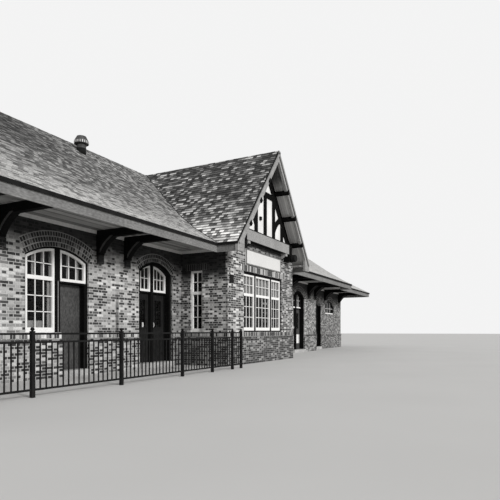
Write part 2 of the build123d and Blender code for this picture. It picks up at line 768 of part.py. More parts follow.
# Each light of the platform front: opening, sill, head, setback, rails, part kept, bottom rail, frame width
front_lights = [
    (WIDE_LEFT, SILL_Z, WIDE, WINDOW_SET, [RAIL_Z], WIDE_WINDOW, 110, FRAME_W),
    (WIDE_LEFT, BAR_Z[1], WIDE, WINDOW_SET, [], WIDE_TRANSOM, 70, FRAME_W),
    (PAIR_RIGHT, SILL_Z, PAIR, WINDOW_SET, [RAIL_Z], None, 110, FRAME_W),
]
for shift in (0, PAIR_SHIFT):
    for span in PAIR_LIGHTS:
        opening = shifted(PAIR_LEFT, shift)
        front_lights.append((opening, BAR_Z[1], PAIR, PAIR_SET, [], shifted(span, shift), 70, JAMB_W))

with BuildPart() as front_sashes:
    for x, sill, head, setback, rails, part, bottom, frame in front_lights:
        sash(x, sill, head, setback, rails, part, bottom, frame)
    for span in both_sides(END_WINDOW_IN, END_WINDOW_OUT):
        sash(span, END_WINDOW_SILL, END_WINDOW, WINDOW_SET, [], None, 70, FRAME_W, -END_HALF_Y)
save(front_sashes, "front_sashes")

with BuildPart() as front_glass:
    for x, sill, head, setback, rails, part, bottom, frame in front_lights:
        pane(x, sill, head, setback, part, frame)
    for span in both_sides(END_WINDOW_IN, END_WINDOW_OUT):
        pane(span, END_WINDOW_SILL, END_WINDOW, WINDOW_SET, None, FRAME_W, -END_HALF_Y)
    # Bay windows
    block(
        (-BAY_WINDOW_HALF + FRAME_W, BAY_WINDOW_HALF - FRAME_W),
        (BAY_FRONT + WINDOW_SET + SASH_T, BAY_FRONT + WINDOW_SET + SASH_T + GLASS_T),
        (SILL_Z + FRAME_W, BAY_SASH_TOP),
    )
    deep = BAY_HALF_X - WINDOW_SET - SASH_T
    for span in both_sides(deep - GLASS_T, deep):
        half_w = SIDE_WINDOW_W / 2 - FRAME_W
        block(span, (SIDE_WINDOW_Y - half_w, SIDE_WINDOW_Y + half_w), (SILL_Z + FRAME_W, SIDE_WINDOW_TOP - FRAME_W))
save(front_glass, "front_glass")

with BuildPart() as back_sashes:
    for x in BACK_OPENINGS:
        head = WIDE if x in (WIDE_LEFT, WIDE_RIGHT) else PAIR
        sash(x, SILL_Z, head, WINDOW_SET, [RAIL_Z], None, 110, FRAME_W, MAIN_HALF_Y, 1)
    for span in both_sides(END_WINDOW_IN, END_WINDOW_OUT):
        sash(span, END_WINDOW_SILL, END_WINDOW, WINDOW_SET, [], None, 70, FRAME_W, END_HALF_Y, 1)
save(back_sashes, "back_sashes")

with BuildPart() as back_glass:
    for x in BACK_OPENINGS:
        head = WIDE if x in (WIDE_LEFT, WIDE_RIGHT) else PAIR
        pane(x, SILL_Z, head, WINDOW_SET, None, FRAME_W, MAIN_HALF_Y, 1)
    for span in both_sides(END_WINDOW_IN, END_WINDOW_OUT):
        pane(span, END_WINDOW_SILL, END_WINDOW, WINDOW_SET, None, FRAME_W, END_HALF_Y, 1)
save(back_glass, "back_glass")

# Bay windows: three sashes in a dark frame in front, one narrow sash each side
BAY_SASH_Y = (BAY_FRONT + WINDOW_SET, BAY_FRONT + WINDOW_SET + SASH_T)
POST_NEAR = BAY_MULLION_AT - BAY_MULLION_W / 2
POST_FAR = BAY_MULLION_AT + BAY_MULLION_W / 2
BAY_LIGHTS = (
    (-BAY_WINDOW_HALF + FRAME_W, -POST_FAR),
    (-POST_NEAR, POST_NEAR),
    (POST_FAR, BAY_WINDOW_HALF - FRAME_W),
)

with BuildPart() as bay_window_frame:
    frame_y = (BAY_SASH_Y[0] - FRAME_STEP, BAY_SASH_Y[1])
    block((-BAY_WINDOW_HALF, BAY_WINDOW_HALF), frame_y, (SILL_Z, BAY_WINDOW_TOP))
    for x in BAY_LIGHTS:
        block(x, frame_y, (SILL_Z + FRAME_W, BAY_SASH_TOP), Mode.SUBTRACT)
save(bay_window_frame, "bay_window_frame")

with BuildPart() as bay_sashes:
    lights_z = ((SILL_Z + 150, RAIL_Z), (RAIL_Z + RAIL_H, BAY_SASH_TOP - SASH_W))
    for x in BAY_LIGHTS:
        block(x, BAY_SASH_Y, (SILL_Z + FRAME_W, BAY_SASH_TOP))
        for z in lights_z:
            block((x[0] + SASH_W, x[1] - SASH_W), BAY_SASH_Y, z, Mode.SUBTRACT)
    deep = BAY_HALF_X - WINDOW_SET
    half_w = SIDE_WINDOW_W / 2
    for span in both_sides(deep - SASH_T, deep):
        block(span, (SIDE_WINDOW_Y - half_w, SIDE_WINDOW_Y + half_w), (SILL_Z, SIDE_WINDOW_TOP))
        lite_y = (SIDE_WINDOW_Y - half_w + SASH_W, SIDE_WINDOW_Y + half_w - SASH_W)
        for z in ((SILL_Z + 110, RAIL_Z), (RAIL_Z + RAIL_H, SIDE_WINDOW_TOP - SASH_W)):
            block(span, lite_y, z, Mode.SUBTRACT)
save(bay_sashes, "bay_sashes")


# Dark door frames: arched heads with a bar over the doors, and posts below the bar
def arched_head(x, head, frame, lights, middle=None):
    """Adds an arch band, its middle set back if given, with a light cut for each (low z, span)."""
    depth = POST_BACK - FRAME_FRONT
    with BuildSketch(at_y(-MAIN_HALF_Y + POST_BACK)) as band:
        arch_sketch(x, BAR_Z[0], *head)
    extrude(band.sketch, amount=depth)
    if middle:
        with BuildSketch(at_y(-MAIN_HALF_Y + middle)) as recess:
            arch_sketch(x, BAR_Z[0], *head, inset=frame)
        extrude(recess.sketch, amount=middle - FRAME_FRONT, mode=Mode.SUBTRACT)
    for low, span in lights:
        with BuildSketch(at_y(-MAIN_HALF_Y + POST_BACK)) as light:
            arch_sketch(x, low, *head, inset=frame)
            keep_box(span, (low, head[1]))
        extrude(light.sketch, amount=depth, mode=Mode.SUBTRACT)


FRAME_FRONT = WINDOW_SET - FRAME_STEP
with BuildPart() as door_heads:
    arched_head(WIDE_LEFT, WIDE, FRAME_W, [(BAR_Z[0], WIDE_WINDOW), (BAR_Z[1], WIDE_TRANSOM)])
    for shift in (0, PAIR_SHIFT):
        lights = [(BAR_Z[1], shifted(span, shift)) for span in PAIR_LIGHTS]
        arched_head(shifted(PAIR_LEFT, shift), PAIR, JAMB_W, lights, PAIR_POST_SET)
save(door_heads, "door_heads")

FRAME_Y = (-MAIN_HALF_Y + FRAME_FRONT, -MAIN_HALF_Y + POST_BACK)
PAIR_POST_Y = (-MAIN_HALF_Y + PAIR_POST_SET, -MAIN_HALF_Y + POST_BACK)
with BuildPart() as door_posts:
    block((-WIDE_OUT, -WIDE_OUT + FRAME_W), FRAME_Y, (SILL_Z, BAR_Z[0]))
    block(MULLION_LEFT, FRAME_Y, (SILL_Z, BAR_Z[0]))
    block((-WIDE_IN - JAMB_W, -WIDE_IN), FRAME_Y, (FLOOR_TOP, BAR_Z[0]))
    for shift in (0, PAIR_SHIFT):
        for jamb in ((-PAIR_OUT, -PAIR_OUT + JAMB_W), (-PAIR_IN - JAMB_W, -PAIR_IN)):
            block(shifted(jamb, shift), FRAME_Y, (FLOOR_TOP, BAR_Z[0]))
        block(shifted(PAIR_POST, shift), PAIR_POST_Y, (FLOOR_TOP, BAR_Z[0]))
save(door_posts, "door_posts")

# Doors, each closed in its frame
LEAF_Y = (-MAIN_HALF_Y + DOOR_SET, -MAIN_HALF_Y + DOOR_SET + DOOR_T)
PAIR_LEAF_Y = (-MAIN_HALF_Y + PAIR_DOOR_SET, -MAIN_HALF_Y + PAIR_DOOR_SET + DOOR_T)
LEAF_Z = (FLOOR_TOP + SILL_GAP, DOOR_TOP)
WIDE_LEAF = (MULLION_LEFT[1] + DOOR_GAP, -WIDE_IN - JAMB_W - HINGE_GAP)
PAIR_LEAF_LEFT = (-PAIR_OUT + JAMB_W + HINGE_GAP, PAIR_POST[0] - DOOR_GAP)
PAIR_LEAF_RIGHT = (PAIR_POST[1] + DOOR_GAP, -PAIR_IN - JAMB_W - HINGE_GAP)

# Strips on the frame that a closed door stops against
def door_stop(x, leaf_y):
    """A strip at the front of a closed leaf, over the full height of the frame."""
    block(x, (leaf_y[0] - STOP_GAP - STOP_T, leaf_y[0] - STOP_GAP), (FLOOR_TOP, BAR_Z[0]))


with BuildPart() as door_stops:
    door_stop((WIDE_LEAF[1] + HINGE_GAP - STOP_LIP, WIDE_LEAF[1] + HINGE_GAP), LEAF_Y)
    for shift in (0, PAIR_SHIFT):
        for x in (
            (PAIR_LEAF_LEFT[0] - HINGE_GAP, PAIR_LEAF_LEFT[0] - HINGE_GAP + STOP_LIP),
            (PAIR_POST[0] - STOP_LIP, PAIR_POST[0]),
            (PAIR_POST[1], PAIR_POST[1] + STOP_LIP),
            (PAIR_LEAF_RIGHT[1] + HINGE_GAP - STOP_LIP, PAIR_LEAF_RIGHT[1] + HINGE_GAP),
        ):
            door_stop(shifted(x, shift), PAIR_LEAF_Y)
save(door_stops, "door_stops")


# Hinges on the inside face: a bearing on the post carries the knuckle of the leaf
FLAP_W = 35
FLAP_T = 4


def door(name, x, leaf_y, hinge_side, glazed):
    """A door leaf hinged at its low (-1) or high (1) x edge, with a tall pane when glazed."""
    lite_x = (x[0] + LITE_SIDE, x[1] - LITE_SIDE)
    pivot = x[1] if hinge_side > 0 else x[0]
    flap = sorted((pivot, pivot - hinge_side * FLAP_W))
    with BuildPart() as leaf:
        block(x, leaf_y, LEAF_Z)
        if glazed:
            block(lite_x, leaf_y, LITE_Z, Mode.SUBTRACT)
        for z in HINGE_Z:
            with Locations((pivot, leaf_y[1] + KNUCKLE_R, z + KNUCKLE_H / 2)):
                Cylinder(KNUCKLE_R, KNUCKLE_H)
            block(flap, (leaf_y[1], leaf_y[1] + FLAP_T), (z, z + KNUCKLE_H))
    save(leaf, name)
    if glazed:
        middle = (leaf_y[0] + leaf_y[1]) / 2
        with BuildPart() as glass:
            block(lite_x, (middle - GLASS_T / 2, middle + GLASS_T / 2), LITE_Z)
        save(glass, f"{name}_glass")


door("left_door", WIDE_LEAF, LEAF_Y, 1, False)
door("pair_door_left", PAIR_LEAF_LEFT, PAIR_LEAF_Y, -1, True)
door("pair_door_right", PAIR_LEAF_RIGHT, PAIR_LEAF_Y, 1, True)
door("right_door", shifted(PAIR_LEAF_RIGHT, PAIR_SHIFT), PAIR_LEAF_Y, 1, True)
door("right_fixed_leaf", shifted(PAIR_LEAF_LEFT, PAIR_SHIFT), PAIR_LEAF_Y, -1, True)

HINGES = (
    (WIDE_LEAF[1], LEAF_Y, 1),
    (PAIR_LEAF_LEFT[0], PAIR_LEAF_Y, -1),
    (PAIR_LEAF_RIGHT[1], PAIR_LEAF_Y, 1),
    (PAIR_LEAF_LEFT[0] + PAIR_SHIFT, PAIR_LEAF_Y, -1),
    (PAIR_LEAF_RIGHT[1] + PAIR_SHIFT, PAIR_LEAF_Y, 1),
)
with BuildPart() as door_hinges:
    for pivot, leaf_y, hinge_side in HINGES:
        bearing = sorted((pivot - hinge_side * FLAP_T, pivot + hinge_side * HINGE_GAP))
        pivot_y = leaf_y[1] + KNUCKLE_R
        for z in HINGE_Z:
            block(bearing, (pivot_y - FLAP_T, pivot_y + FLAP_T), (z - KNUCKLE_H, z))
save(door_hinges, "door_hinges")

# Closed doors of the end sections
with BuildPart() as end_section_doors:
    for span in both_sides(END_DOOR_IN, END_DOOR_OUT):
        with BuildSketch(at_y(-END_HALF_Y + POST_BACK)):
            arch_sketch(span, FLOOR_TOP, *END_DOOR)
        extrude(amount=POST_BACK - DOOR_SET)
save(end_section_doors, "end_section_doors")

# Outlookers lie against the underside of the bay roof and run out through the barge boards
OUTLOOKER_Y = (VERGE_Y - OUTLOOKER_OUT, GABLE_Y)


def outlookers(mode):
    """Adds the six outlookers to the part being built, or cuts them out of it."""
    centre_drop = (BAY_ROOF_T + OUTLOOKER / 2) / math.cos(BAY_ANGLE)
    with BuildSketch(at_y(OUTLOOKER_Y[1])) as ends:
        for side in (-1, 1):
            for x in OUTLOOKER_AT:
                spot = Location((side * x, RIDGE_Z - x * BAY_SLOPE - centre_drop))
                with Locations(spot * Location((0, 0, 0), (0, 0, -side * math.degrees(BAY_ANGLE)))):
                    Rectangle(OUTLOOKER, OUTLOOKER)
    extrude(ends.sketch, amount=OUTLOOKER_Y[1] - OUTLOOKER_Y[0], mode=mode)


# Gable over the bay: tie beam on blocks, stucco panel, timbers on its face
with BuildPart() as tie_beam:
    with BuildSketch(at_y(BAY_FRONT)):
        outline(
            [
                (-TIE_HALF_X, TIE_BOTTOM),
                (TIE_HALF_X, TIE_BOTTOM),
                (TIE_HALF_X, TIE_TOP),
                (-TIE_HALF_X, TIE_TOP),
            ]
        )
    extrude(amount=TIE_OUT)
    for x in (-TIE_BLOCK_AT, TIE_BLOCK_AT):
        with BuildSketch(Plane.YZ.offset(x - TIE_BLOCK_W / 2)):
            outline(
                [
                    (BAY_FRONT, TIE_BOTTOM),
                    (BAY_FRONT, TIE_BOTTOM - TIE_BLOCK_H),
                    (BAY_FRONT - 0.35 * TIE_OUT, TIE_BOTTOM - TIE_BLOCK_H),
                    (BAY_FRONT - 0.9 * TIE_OUT, TIE_BOTTOM - 0.5 * TIE_BLOCK_H),
                    (BAY_FRONT - 0.9 * TIE_OUT, TIE_BOTTOM),
                ]
            )
        extrude(amount=TIE_BLOCK_W)
save(tie_beam, "tie_beam")

# Heavy blocks at the ends of the tie beam
with BuildPart() as gable_feet:
    for span in both_sides(TIE_HALF_X, FOOT_BLOCK_X):
        block(span, (BAY_FRONT - TIE_OUT, BAY_FRONT), (FOOT_BLOCK_Z, TIE_TOP))
    outlookers(Mode.SUBTRACT)
save(gable_feet, "gable_feet")

STUCCO_Y = GABLE_Y + STUCCO_BACK
UNDER_APEX = RIDGE_Z - BAY_DROP
with BuildPart() as gable_wall:
    with BuildSketch(at_y(BAY_FRONT + WALL_T / 2)):
        outline([(-under_bay_roof(TIE_TOP), TIE_TOP), (under_bay_roof(TIE_TOP), TIE_TOP), (0, UNDER_APEX)])
    extrude(amount=BAY_FRONT + WALL_T / 2 - STUCCO_Y)
save(gable_wall, "gable_wall")


def gable_brace(side):
    """Adds a curved brace from a stud foot up to the rafter."""
    lower = [(side * a, b) for a, b in BRACE_LOWER]
    upper = [(side * a, b) for a, b in BRACE_UPPER]
    with BuildLine() as edge:
        ThreePointArc(*lower)
        Line(lower[2], upper[2])
        ThreePointArc(upper[2], upper[1], upper[0])
        Line(upper[0], lower[0])
    make_face(edge.edges())


with BuildPart() as gable_timbers:
    rafter_drop = RAFTER_W / math.cos(BAY_ANGLE)
    foot_x = under_bay_roof(TIE_TOP)
    inner_foot = foot_x - rafter_drop / BAY_SLOPE
    with BuildSketch(at_y(STUCCO_Y)):
        outline([(-foot_x, TIE_TOP), (foot_x, TIE_TOP), (0, UNDER_APEX)])
        with BuildLine():
            Polyline(
                (-inner_foot, TIE_TOP),
                (inner_foot, TIE_TOP),
                (0, UNDER_APEX - rafter_drop),
                close=True,
            )
        make_face(mode=Mode.SUBTRACT)
        for x in (0, *STUD_AT):
            high = UNDER_APEX - rafter_drop / 2 - x * BAY_SLOPE
            high = min(high, COLLAR_Z + COLLAR_H / 2)
            for side in (-1, 1):
                with Locations((side * x, (TIE_TOP + high) / 2)):
                    Rectangle(STUD_W, high - TIE_TOP)
        collar_half = (UNDER_APEX - COLLAR_Z - rafter_drop) / BAY_SLOPE
        with Locations((0, COLLAR_Z + COLLAR_H / 2)):
            Rectangle(2 * collar_half, COLLAR_H)
        gable_brace(1)
        gable_brace(-1)
    extrude(amount=STUCCO_BACK)
save(gable_timbers, "gable_timbers")

BARGE_DROP = BARGE_W / math.cos(BAY_ANGLE)
with BuildPart() as barge_boards:
    low = RIDGE_Z - DRIP - BARGE_DROP
    heel = BAY_EAVE_X - FOOT_W
    right = [
        (0, RIDGE_Z - DRIP),
        (BAY_EAVE_X, EAVE_BASE),
        (BAY_EAVE_X, FASCIA_BOTTOM),
        (heel, FASCIA_BOTTOM),
        (heel, low - heel * BAY_SLOPE),
        (0, low),
    ]
    with BuildSketch(at_y(VERGE_Y + BARGE_T)):
        outline(right)
        outline([(-a, z) for a, z in right])
    extrude(amount=BARGE_T)
    outlookers(Mode.SUBTRACT)
save(barge_boards, "barge_boards")

with BuildPart() as gable_outlookers:
    outlookers(Mode.ADD)
save(gable_outlookers, "gable_outlookers")

# Name board on the bay and the round lamp on the right foot block
with BuildPart() as name_board:
    block(SIGN_X, (BAY_FRONT - SIGN_T, BAY_FRONT), SIGN_Z)
save(name_board, "name_board")

with BuildPart() as gable_lamp:
    with Locations((LAMP_X, BAY_FRONT - TIE_OUT - LAMP_STEM / 2, LAMP_Z)):
        Box(LAMP_STEM_W, LAMP_STEM, LAMP_STEM_W)
    with BuildSketch(at_y(BAY_FRONT - TIE_OUT - LAMP_STEM)):
        with Locations((LAMP_X, LAMP_Z)):
            Circle(LAMP_R)
    extrude(amount=LAMP_H)
save(gable_lamp, "gable_lamp")

# Sheet-metal vent on the front slope
with BuildPart() as roof_vent:
    deck_z = RIDGE_Z + VENT_Y * ROOF_SLOPE
    with BuildSketch(Plane(origin=(VENT_X, VENT_Y, 0), x_dir=(1, 0, 0), z_dir=(0, -1, 0))):
        with BuildLine():
            Polyline(
                (0, deck_z - VENT_SINK),
                (VENT_NECK_R, deck_z - VENT_SINK),
                (VENT_NECK_R, deck_z + VENT_RISE - 250),
                (VENT_CAP_R, deck_z + VENT_RISE - 250),
                (VENT_CAP_R, deck_z + VENT_RISE - 150),
                (VENT_CAP_R - 80, deck_z + VENT_RISE),
                (0, deck_z + VENT_RISE),
                close=True,
            )
        make_face()
    revolve(axis=Axis((VENT_X, VENT_Y, 0), (0, 0, 1)))
    add(main_outer, mode=Mode.SUBTRACT)
save(roof_vent, "roof_vent")

# Platform railing: posts in one node, the panels between them in another
with BuildPart() as fence_posts:
    for x in FENCE_POSTS:
        block(
            (x - POST_SIZE / 2, x + POST_SIZE / 2),
            (FENCE_Y - POST_SIZE / 2, FENCE_Y + POST_SIZE / 2),
            (0, POST_H),
        )
    # Eight-sided knobs, widest in the middle
    with BuildSketch(Plane.XY.offset(POST_H + KNOB_H)) as knobs:
        with Locations(*[(x, FENCE_Y) for x in FENCE_POSTS]):
            RegularPolygon(KNOB_R, 8)
    for way in (-1, 1):
        extrude(knobs.sketch, amount=way * KNOB_H, taper=KNOB_TAPER)
save(fence_posts, "fence_posts")

with BuildPart() as fence_panels:
    rail_y = (FENCE_Y - RAIL_SIZE / 2, FENCE_Y + RAIL_SIZE / 2)
    picket_y = (FENCE_Y - PICKET / 2, FENCE_Y + PICKET / 2)
    for start, end in zip(FENCE_POSTS[:-1], FENCE_POSTS[1:]):
        low = start + POST_SIZE / 2
        high = end - POST_SIZE / 2
        for top in (RAIL_TOP, RAIL_TOP - RAIL_GAP, RAIL_LOW + RAIL_SIZE):
            block((low, high), rail_y, (top - RAIL_SIZE, top))
        count = round((high - low) / PICKET_STEP)
        step = (high - low) / count
        for k in range(1, count):
            x = low + k * step
            block((x - PICKET / 2, x + PICKET / 2), picket_y, (RAIL_LOW, RAIL_TOP - RAIL_GAP))
save(fence_panels, "fence_panels")
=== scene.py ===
"""Looks of the brick railway station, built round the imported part."""
import json
import math
import random

import bpy
import numpy as np
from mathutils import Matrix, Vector

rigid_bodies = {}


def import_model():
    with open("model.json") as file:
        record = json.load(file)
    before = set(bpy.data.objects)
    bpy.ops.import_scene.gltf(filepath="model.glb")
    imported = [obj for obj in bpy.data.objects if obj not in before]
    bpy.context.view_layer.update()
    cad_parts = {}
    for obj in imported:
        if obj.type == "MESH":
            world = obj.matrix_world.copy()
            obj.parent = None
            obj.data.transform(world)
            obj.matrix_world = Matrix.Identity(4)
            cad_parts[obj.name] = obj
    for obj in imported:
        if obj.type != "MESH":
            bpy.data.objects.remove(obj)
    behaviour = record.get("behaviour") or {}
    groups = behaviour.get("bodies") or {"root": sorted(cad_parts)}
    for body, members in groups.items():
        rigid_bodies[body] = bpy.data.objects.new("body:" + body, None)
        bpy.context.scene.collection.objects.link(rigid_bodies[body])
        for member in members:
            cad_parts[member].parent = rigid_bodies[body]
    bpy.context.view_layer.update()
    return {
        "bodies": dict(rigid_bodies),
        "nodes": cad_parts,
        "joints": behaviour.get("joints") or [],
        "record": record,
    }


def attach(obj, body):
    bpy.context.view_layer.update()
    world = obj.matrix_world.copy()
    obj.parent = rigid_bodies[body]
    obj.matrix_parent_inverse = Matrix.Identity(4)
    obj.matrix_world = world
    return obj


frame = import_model()
NODES = frame["nodes"]
rng = random.Random(7)


def both_sides(opening):
    """An opening right of the middle and its mirror image."""
    low, high, *head = opening
    return opening, (-high, -low, *head)


def mirrored(side, a, b):
    """The range between a and b, on the right for side 1 and on the left for side -1."""
    return tuple(sorted((side * a, side * b)))


# Sizes in metres that the pieces share with the part; x = 0 is the middle of the bay
MAIN_X = 10.39
MAIN_Y = 3.61
BAY_X = 2.62
BAY_FRONT = -5.37
END_X = 17.26
END_Y = 2.96
WALL_TOP = 3.70
LEDGE_TOP = 0.91
SILL_Z = 1.07
RAIL_Z = 2.28
BAR_TOP = 2.293
EAVE_TOP = 3.79
RIDGE_Z = 7.4615
MULLION = (-7.640, -7.485)
PAIR_POST = (-3.970, -3.840)
PAIR_SHIFT = 11.70
COURSE = 0.070
BRICK = 0.215
SHORT_BRICK = 0.110
BAY_LIGHTS = ((-1.505, -0.685), (-0.595, 0.595), (0.685, 1.505))

# Openings as (left, right, spring height, crown height)
WIDE_HEAD = (2.82, 3.09)
PAIR_HEAD = (2.88, 3.19)
RIGHT_WIDE, LEFT_WIDE = both_sides((6.63, 8.49, *WIDE_HEAD))
RIGHT_TALL, LEFT_PAIR = both_sides((3.11, 4.70, *PAIR_HEAD))
RIGHT_PAIR = (7.00, 8.59, *PAIR_HEAD)
BACK_MIDDLE = (-0.795, 0.795, *PAIR_HEAD)
FRONT_OPENINGS = (LEFT_WIDE, LEFT_PAIR, RIGHT_TALL, RIGHT_PAIR)
BACK_OPENINGS = (RIGHT_WIDE, LEFT_WIDE, RIGHT_TALL, LEFT_PAIR, BACK_MIDDLE)
END_DOORS = both_sides((11.30, 13.05, 2.65, 2.95))
END_WINDOWS = both_sides((13.95, 15.75, 2.70, 3.06))

# Walls as (y of the face, way out)
FRONT = (-MAIN_Y, -1)
BACK = (MAIN_Y, 1)
END_FRONT = (-END_Y, -1)
END_BACK = (END_Y, 1)


# Node trees
class Tree:
    """Small helper that adds nodes to a material and links them."""

    def __init__(self, name):
        self.material = bpy.data.materials.new(name)
        self.material.use_nodes = True
        self.tree = self.material.node_tree
        self.shader = self.tree.nodes["Principled BSDF"]

    def link(self, source, target):
        if hasattr(source, "is_output"):
            self.tree.links.new(source, target)
        else:
            target.default_value = source

    def math(self, operation, a, b=None, c=None):
        node = self.tree.nodes.new("ShaderNodeMath")
        node.operation = operation
        for socket, value in zip(node.inputs, (a, b, c)):
            if value is not None:
                self.link(value, socket)
        return node.outputs[0]

    def times(self, a, b):
        return self.math("MULTIPLY", a, b)

    def line(self, value, slope, start):
        """Value times slope, plus start."""
        return self.math("MULTIPLY_ADD", value, slope, start)

    def rest(self, value):
        """What the value lacks to 1."""
        return self.math("SUBTRACT", 1.0, value)

    def distance(self, a, b):
        return self.math("ABSOLUTE", self.math("SUBTRACT", a, b))

    def below(self, value, limit):
        """1 where the value is below the limit, otherwise 0."""
        return self.math("LESS_THAN", value, limit)

    def above(self, value, limit):
        """1 where the value is above the limit, otherwise 0."""
        return self.math("GREATER_THAN", value, limit)

    def step(self, value, low, high):
        """0 below low, 1 above high, smooth between them."""
        node = self.tree.nodes.new("ShaderNodeMapRange")
        node.interpolation_type = "SMOOTHSTEP"
        self.link(value, node.inputs["Value"])
        node.inputs["From Min"].default_value = low
        node.inputs["From Max"].default_value = high
        return node.outputs[0]

    def choose(self, where, a, b):
        """a where the first value is 0, b where it is 1."""
        return self.math("ADD", self.times(a, self.rest(where)), self.times(b, where))

    def mix(self, factor, a, b):
        node = self.tree.nodes.new("ShaderNodeMix")
        node.data_type = "RGBA"
        self.link(factor, node.inputs[0])
        self.link(a, node.inputs[6])
        self.link(b, node.inputs[7])
        return node.outputs[2]

    def mottle(self, color, value, least, most):
        """Colour times a factor that runs from least at value 0 to most at value 1."""
        node = self.tree.nodes.new("ShaderNodeVectorMath")
        node.operation = "SCALE"
        self.link(color, node.inputs[0])
        self.link(self.line(value, most - least, least), node.inputs["Scale"])
        return node.outputs[0]

    def darken(self, color, where, depth):
        """Takes that share of the colour away where the value is 1; a negative depth brightens."""
        return self.mottle(color, where, 1.0, 1.0 - depth)

    def ramp(self, factor, stops):
        node = self.tree.nodes.new("ShaderNodeValToRGB")
        self.link(factor, node.inputs[0])
        elements = node.color_ramp.elements
        while len(elements) < len(stops):
            elements.new(0.5)
        for element, (place, tone) in zip(elements, stops):
            element.position = place
            element.color = (*tint(tone), 1)
        return node.outputs[0]

    def noise(self, scale, detail, vector=None):
        node = self.tree.nodes.new("ShaderNodeTexNoise")
        node.inputs["Scale"].default_value = scale
        node.inputs["Detail"].default_value = detail
        self.tree.links.new(vector or self.place(), node.inputs["Vector"])
        return node.outputs["Fac"]

    def random(self, a, b):
        """The same random number all over one cell."""
        both = self.tree.nodes.new("ShaderNodeCombineXYZ")
        self.link(a, both.inputs[0])
        self.link(b, both.inputs[1])
        node = self.tree.nodes.new("ShaderNodeTexWhiteNoise")
        self.tree.links.new(both.outputs[0], node.inputs["Vector"])
        return node.outputs["Value"]

    def place(self):
        """Point on the object, in metres in the shared frame."""
        found = self.tree.nodes.get("Place")
        if found is None:
            found = self.tree.nodes.new("ShaderNodeTexCoord")
            found.name = "Place"
        return found.outputs["Object"]

    def stretched(self, x, y, z):
        node = self.tree.nodes.new("ShaderNodeMapping")
        node.inputs["Scale"].default_value = (x, y, z)
        self.tree.links.new(self.place(), node.inputs["Vector"])
        return node.outputs[0]

    def parts(self):
        """x, y and z of the point on the object."""
        node = self.tree.nodes.new("ShaderNodeSeparateXYZ")
        self.tree.links.new(self.place(), node.inputs[0])
        return node.outputs

    def normal_parts(self):
        geometry = self.tree.nodes.new("ShaderNodeNewGeometry")
        node = self.tree.nodes.new("ShaderNodeSeparateXYZ")
        self.tree.links.new(geometry.outputs["True Normal"], node.inputs[0])
        return node.outputs

    def attribute(self, name):
        """A number stored in the mesh: the tone of each face, or the rise of each point."""
        node = self.tree.nodes.new("ShaderNodeAttribute")
        node.attribute_name = name
        return node.outputs["Fac"]

    def bump(self, height, distance, strength=1.0):
        node = self.tree.nodes.new("ShaderNodeBump")
        node.inputs["Strength"].default_value = strength
        node.inputs["Distance"].default_value = distance
        self.tree.links.new(height, node.inputs["Height"])
        self.tree.links.new(node.outputs[0], self.shader.inputs["Normal"])

    def finish(self, color, **values):
        """Sets the colour and other inputs of the shader and gives the material."""
        self.link(color, self.shader.inputs["Base Color"])
        for key, value in values.items():
            self.shader.inputs[key.replace("_", " ")].default_value = value
        return self.material


def tint(tone):
    """A slightly warm grey of that linear brightness."""
    return (tone * 1.01, tone, tone * 0.98)


# Brickwork: tones from dark to light bricks, where the bay and its front begin, soot with painted shade under
# the eaves, dirt and joints
BRICK_STOPS = ((0.0, 0.02), (0.34, 0.045), (0.41, 0.19), (1.0, 0.68))
MORTAR_TONE = 0.55
BAY_FROM_Y = -MAIN_Y - 0.04
BAY_FRONT_FROM_Y = BAY_FRONT + 0.07
SOOT_AND_SHADE_Z = (3.05, 3.55)
DIRT_X = -5.57
DIRT_HALF = (0.03, 0.09)
BED_JOINT = (0.385, 0.44)
END_JOINT = (0.014, 0.028)


def soot_and_eave_shade(tree, uneven):
    """1 where soot and painted shade lie under the deep eaves; the bay front stays clean."""
    _, y, height = tree.parts()
    # It reaches lower on the sides of the bay
    reach = tree.line(tree.below(y, BAY_FROM_Y), 0.35, height)
    amount = tree.step(tree.line(uneven, 0.4, reach), *SOOT_AND_SHADE_Z)
    return tree.times(amount, tree.above(y, BAY_FRONT_FROM_Y))


def dirt_run(tree, uneven):
    """1 along a run of dirt down the pier between the two left doorways."""
    x, y, height = tree.parts()
    aside = tree.math("ABSOLUTE", tree.math("ADD", x, tree.line(uneven, 0.06, -DIRT_X)))
    run = tree.rest(tree.step(aside, *DIRT_HALF))
    run = tree.times(run, tree.step(height, 0.8, 0.95))
    run = tree.times(run, tree.rest(tree.step(height, 1.8, 2.3)))
    return tree.times(run, tree.below(y, 0.0))


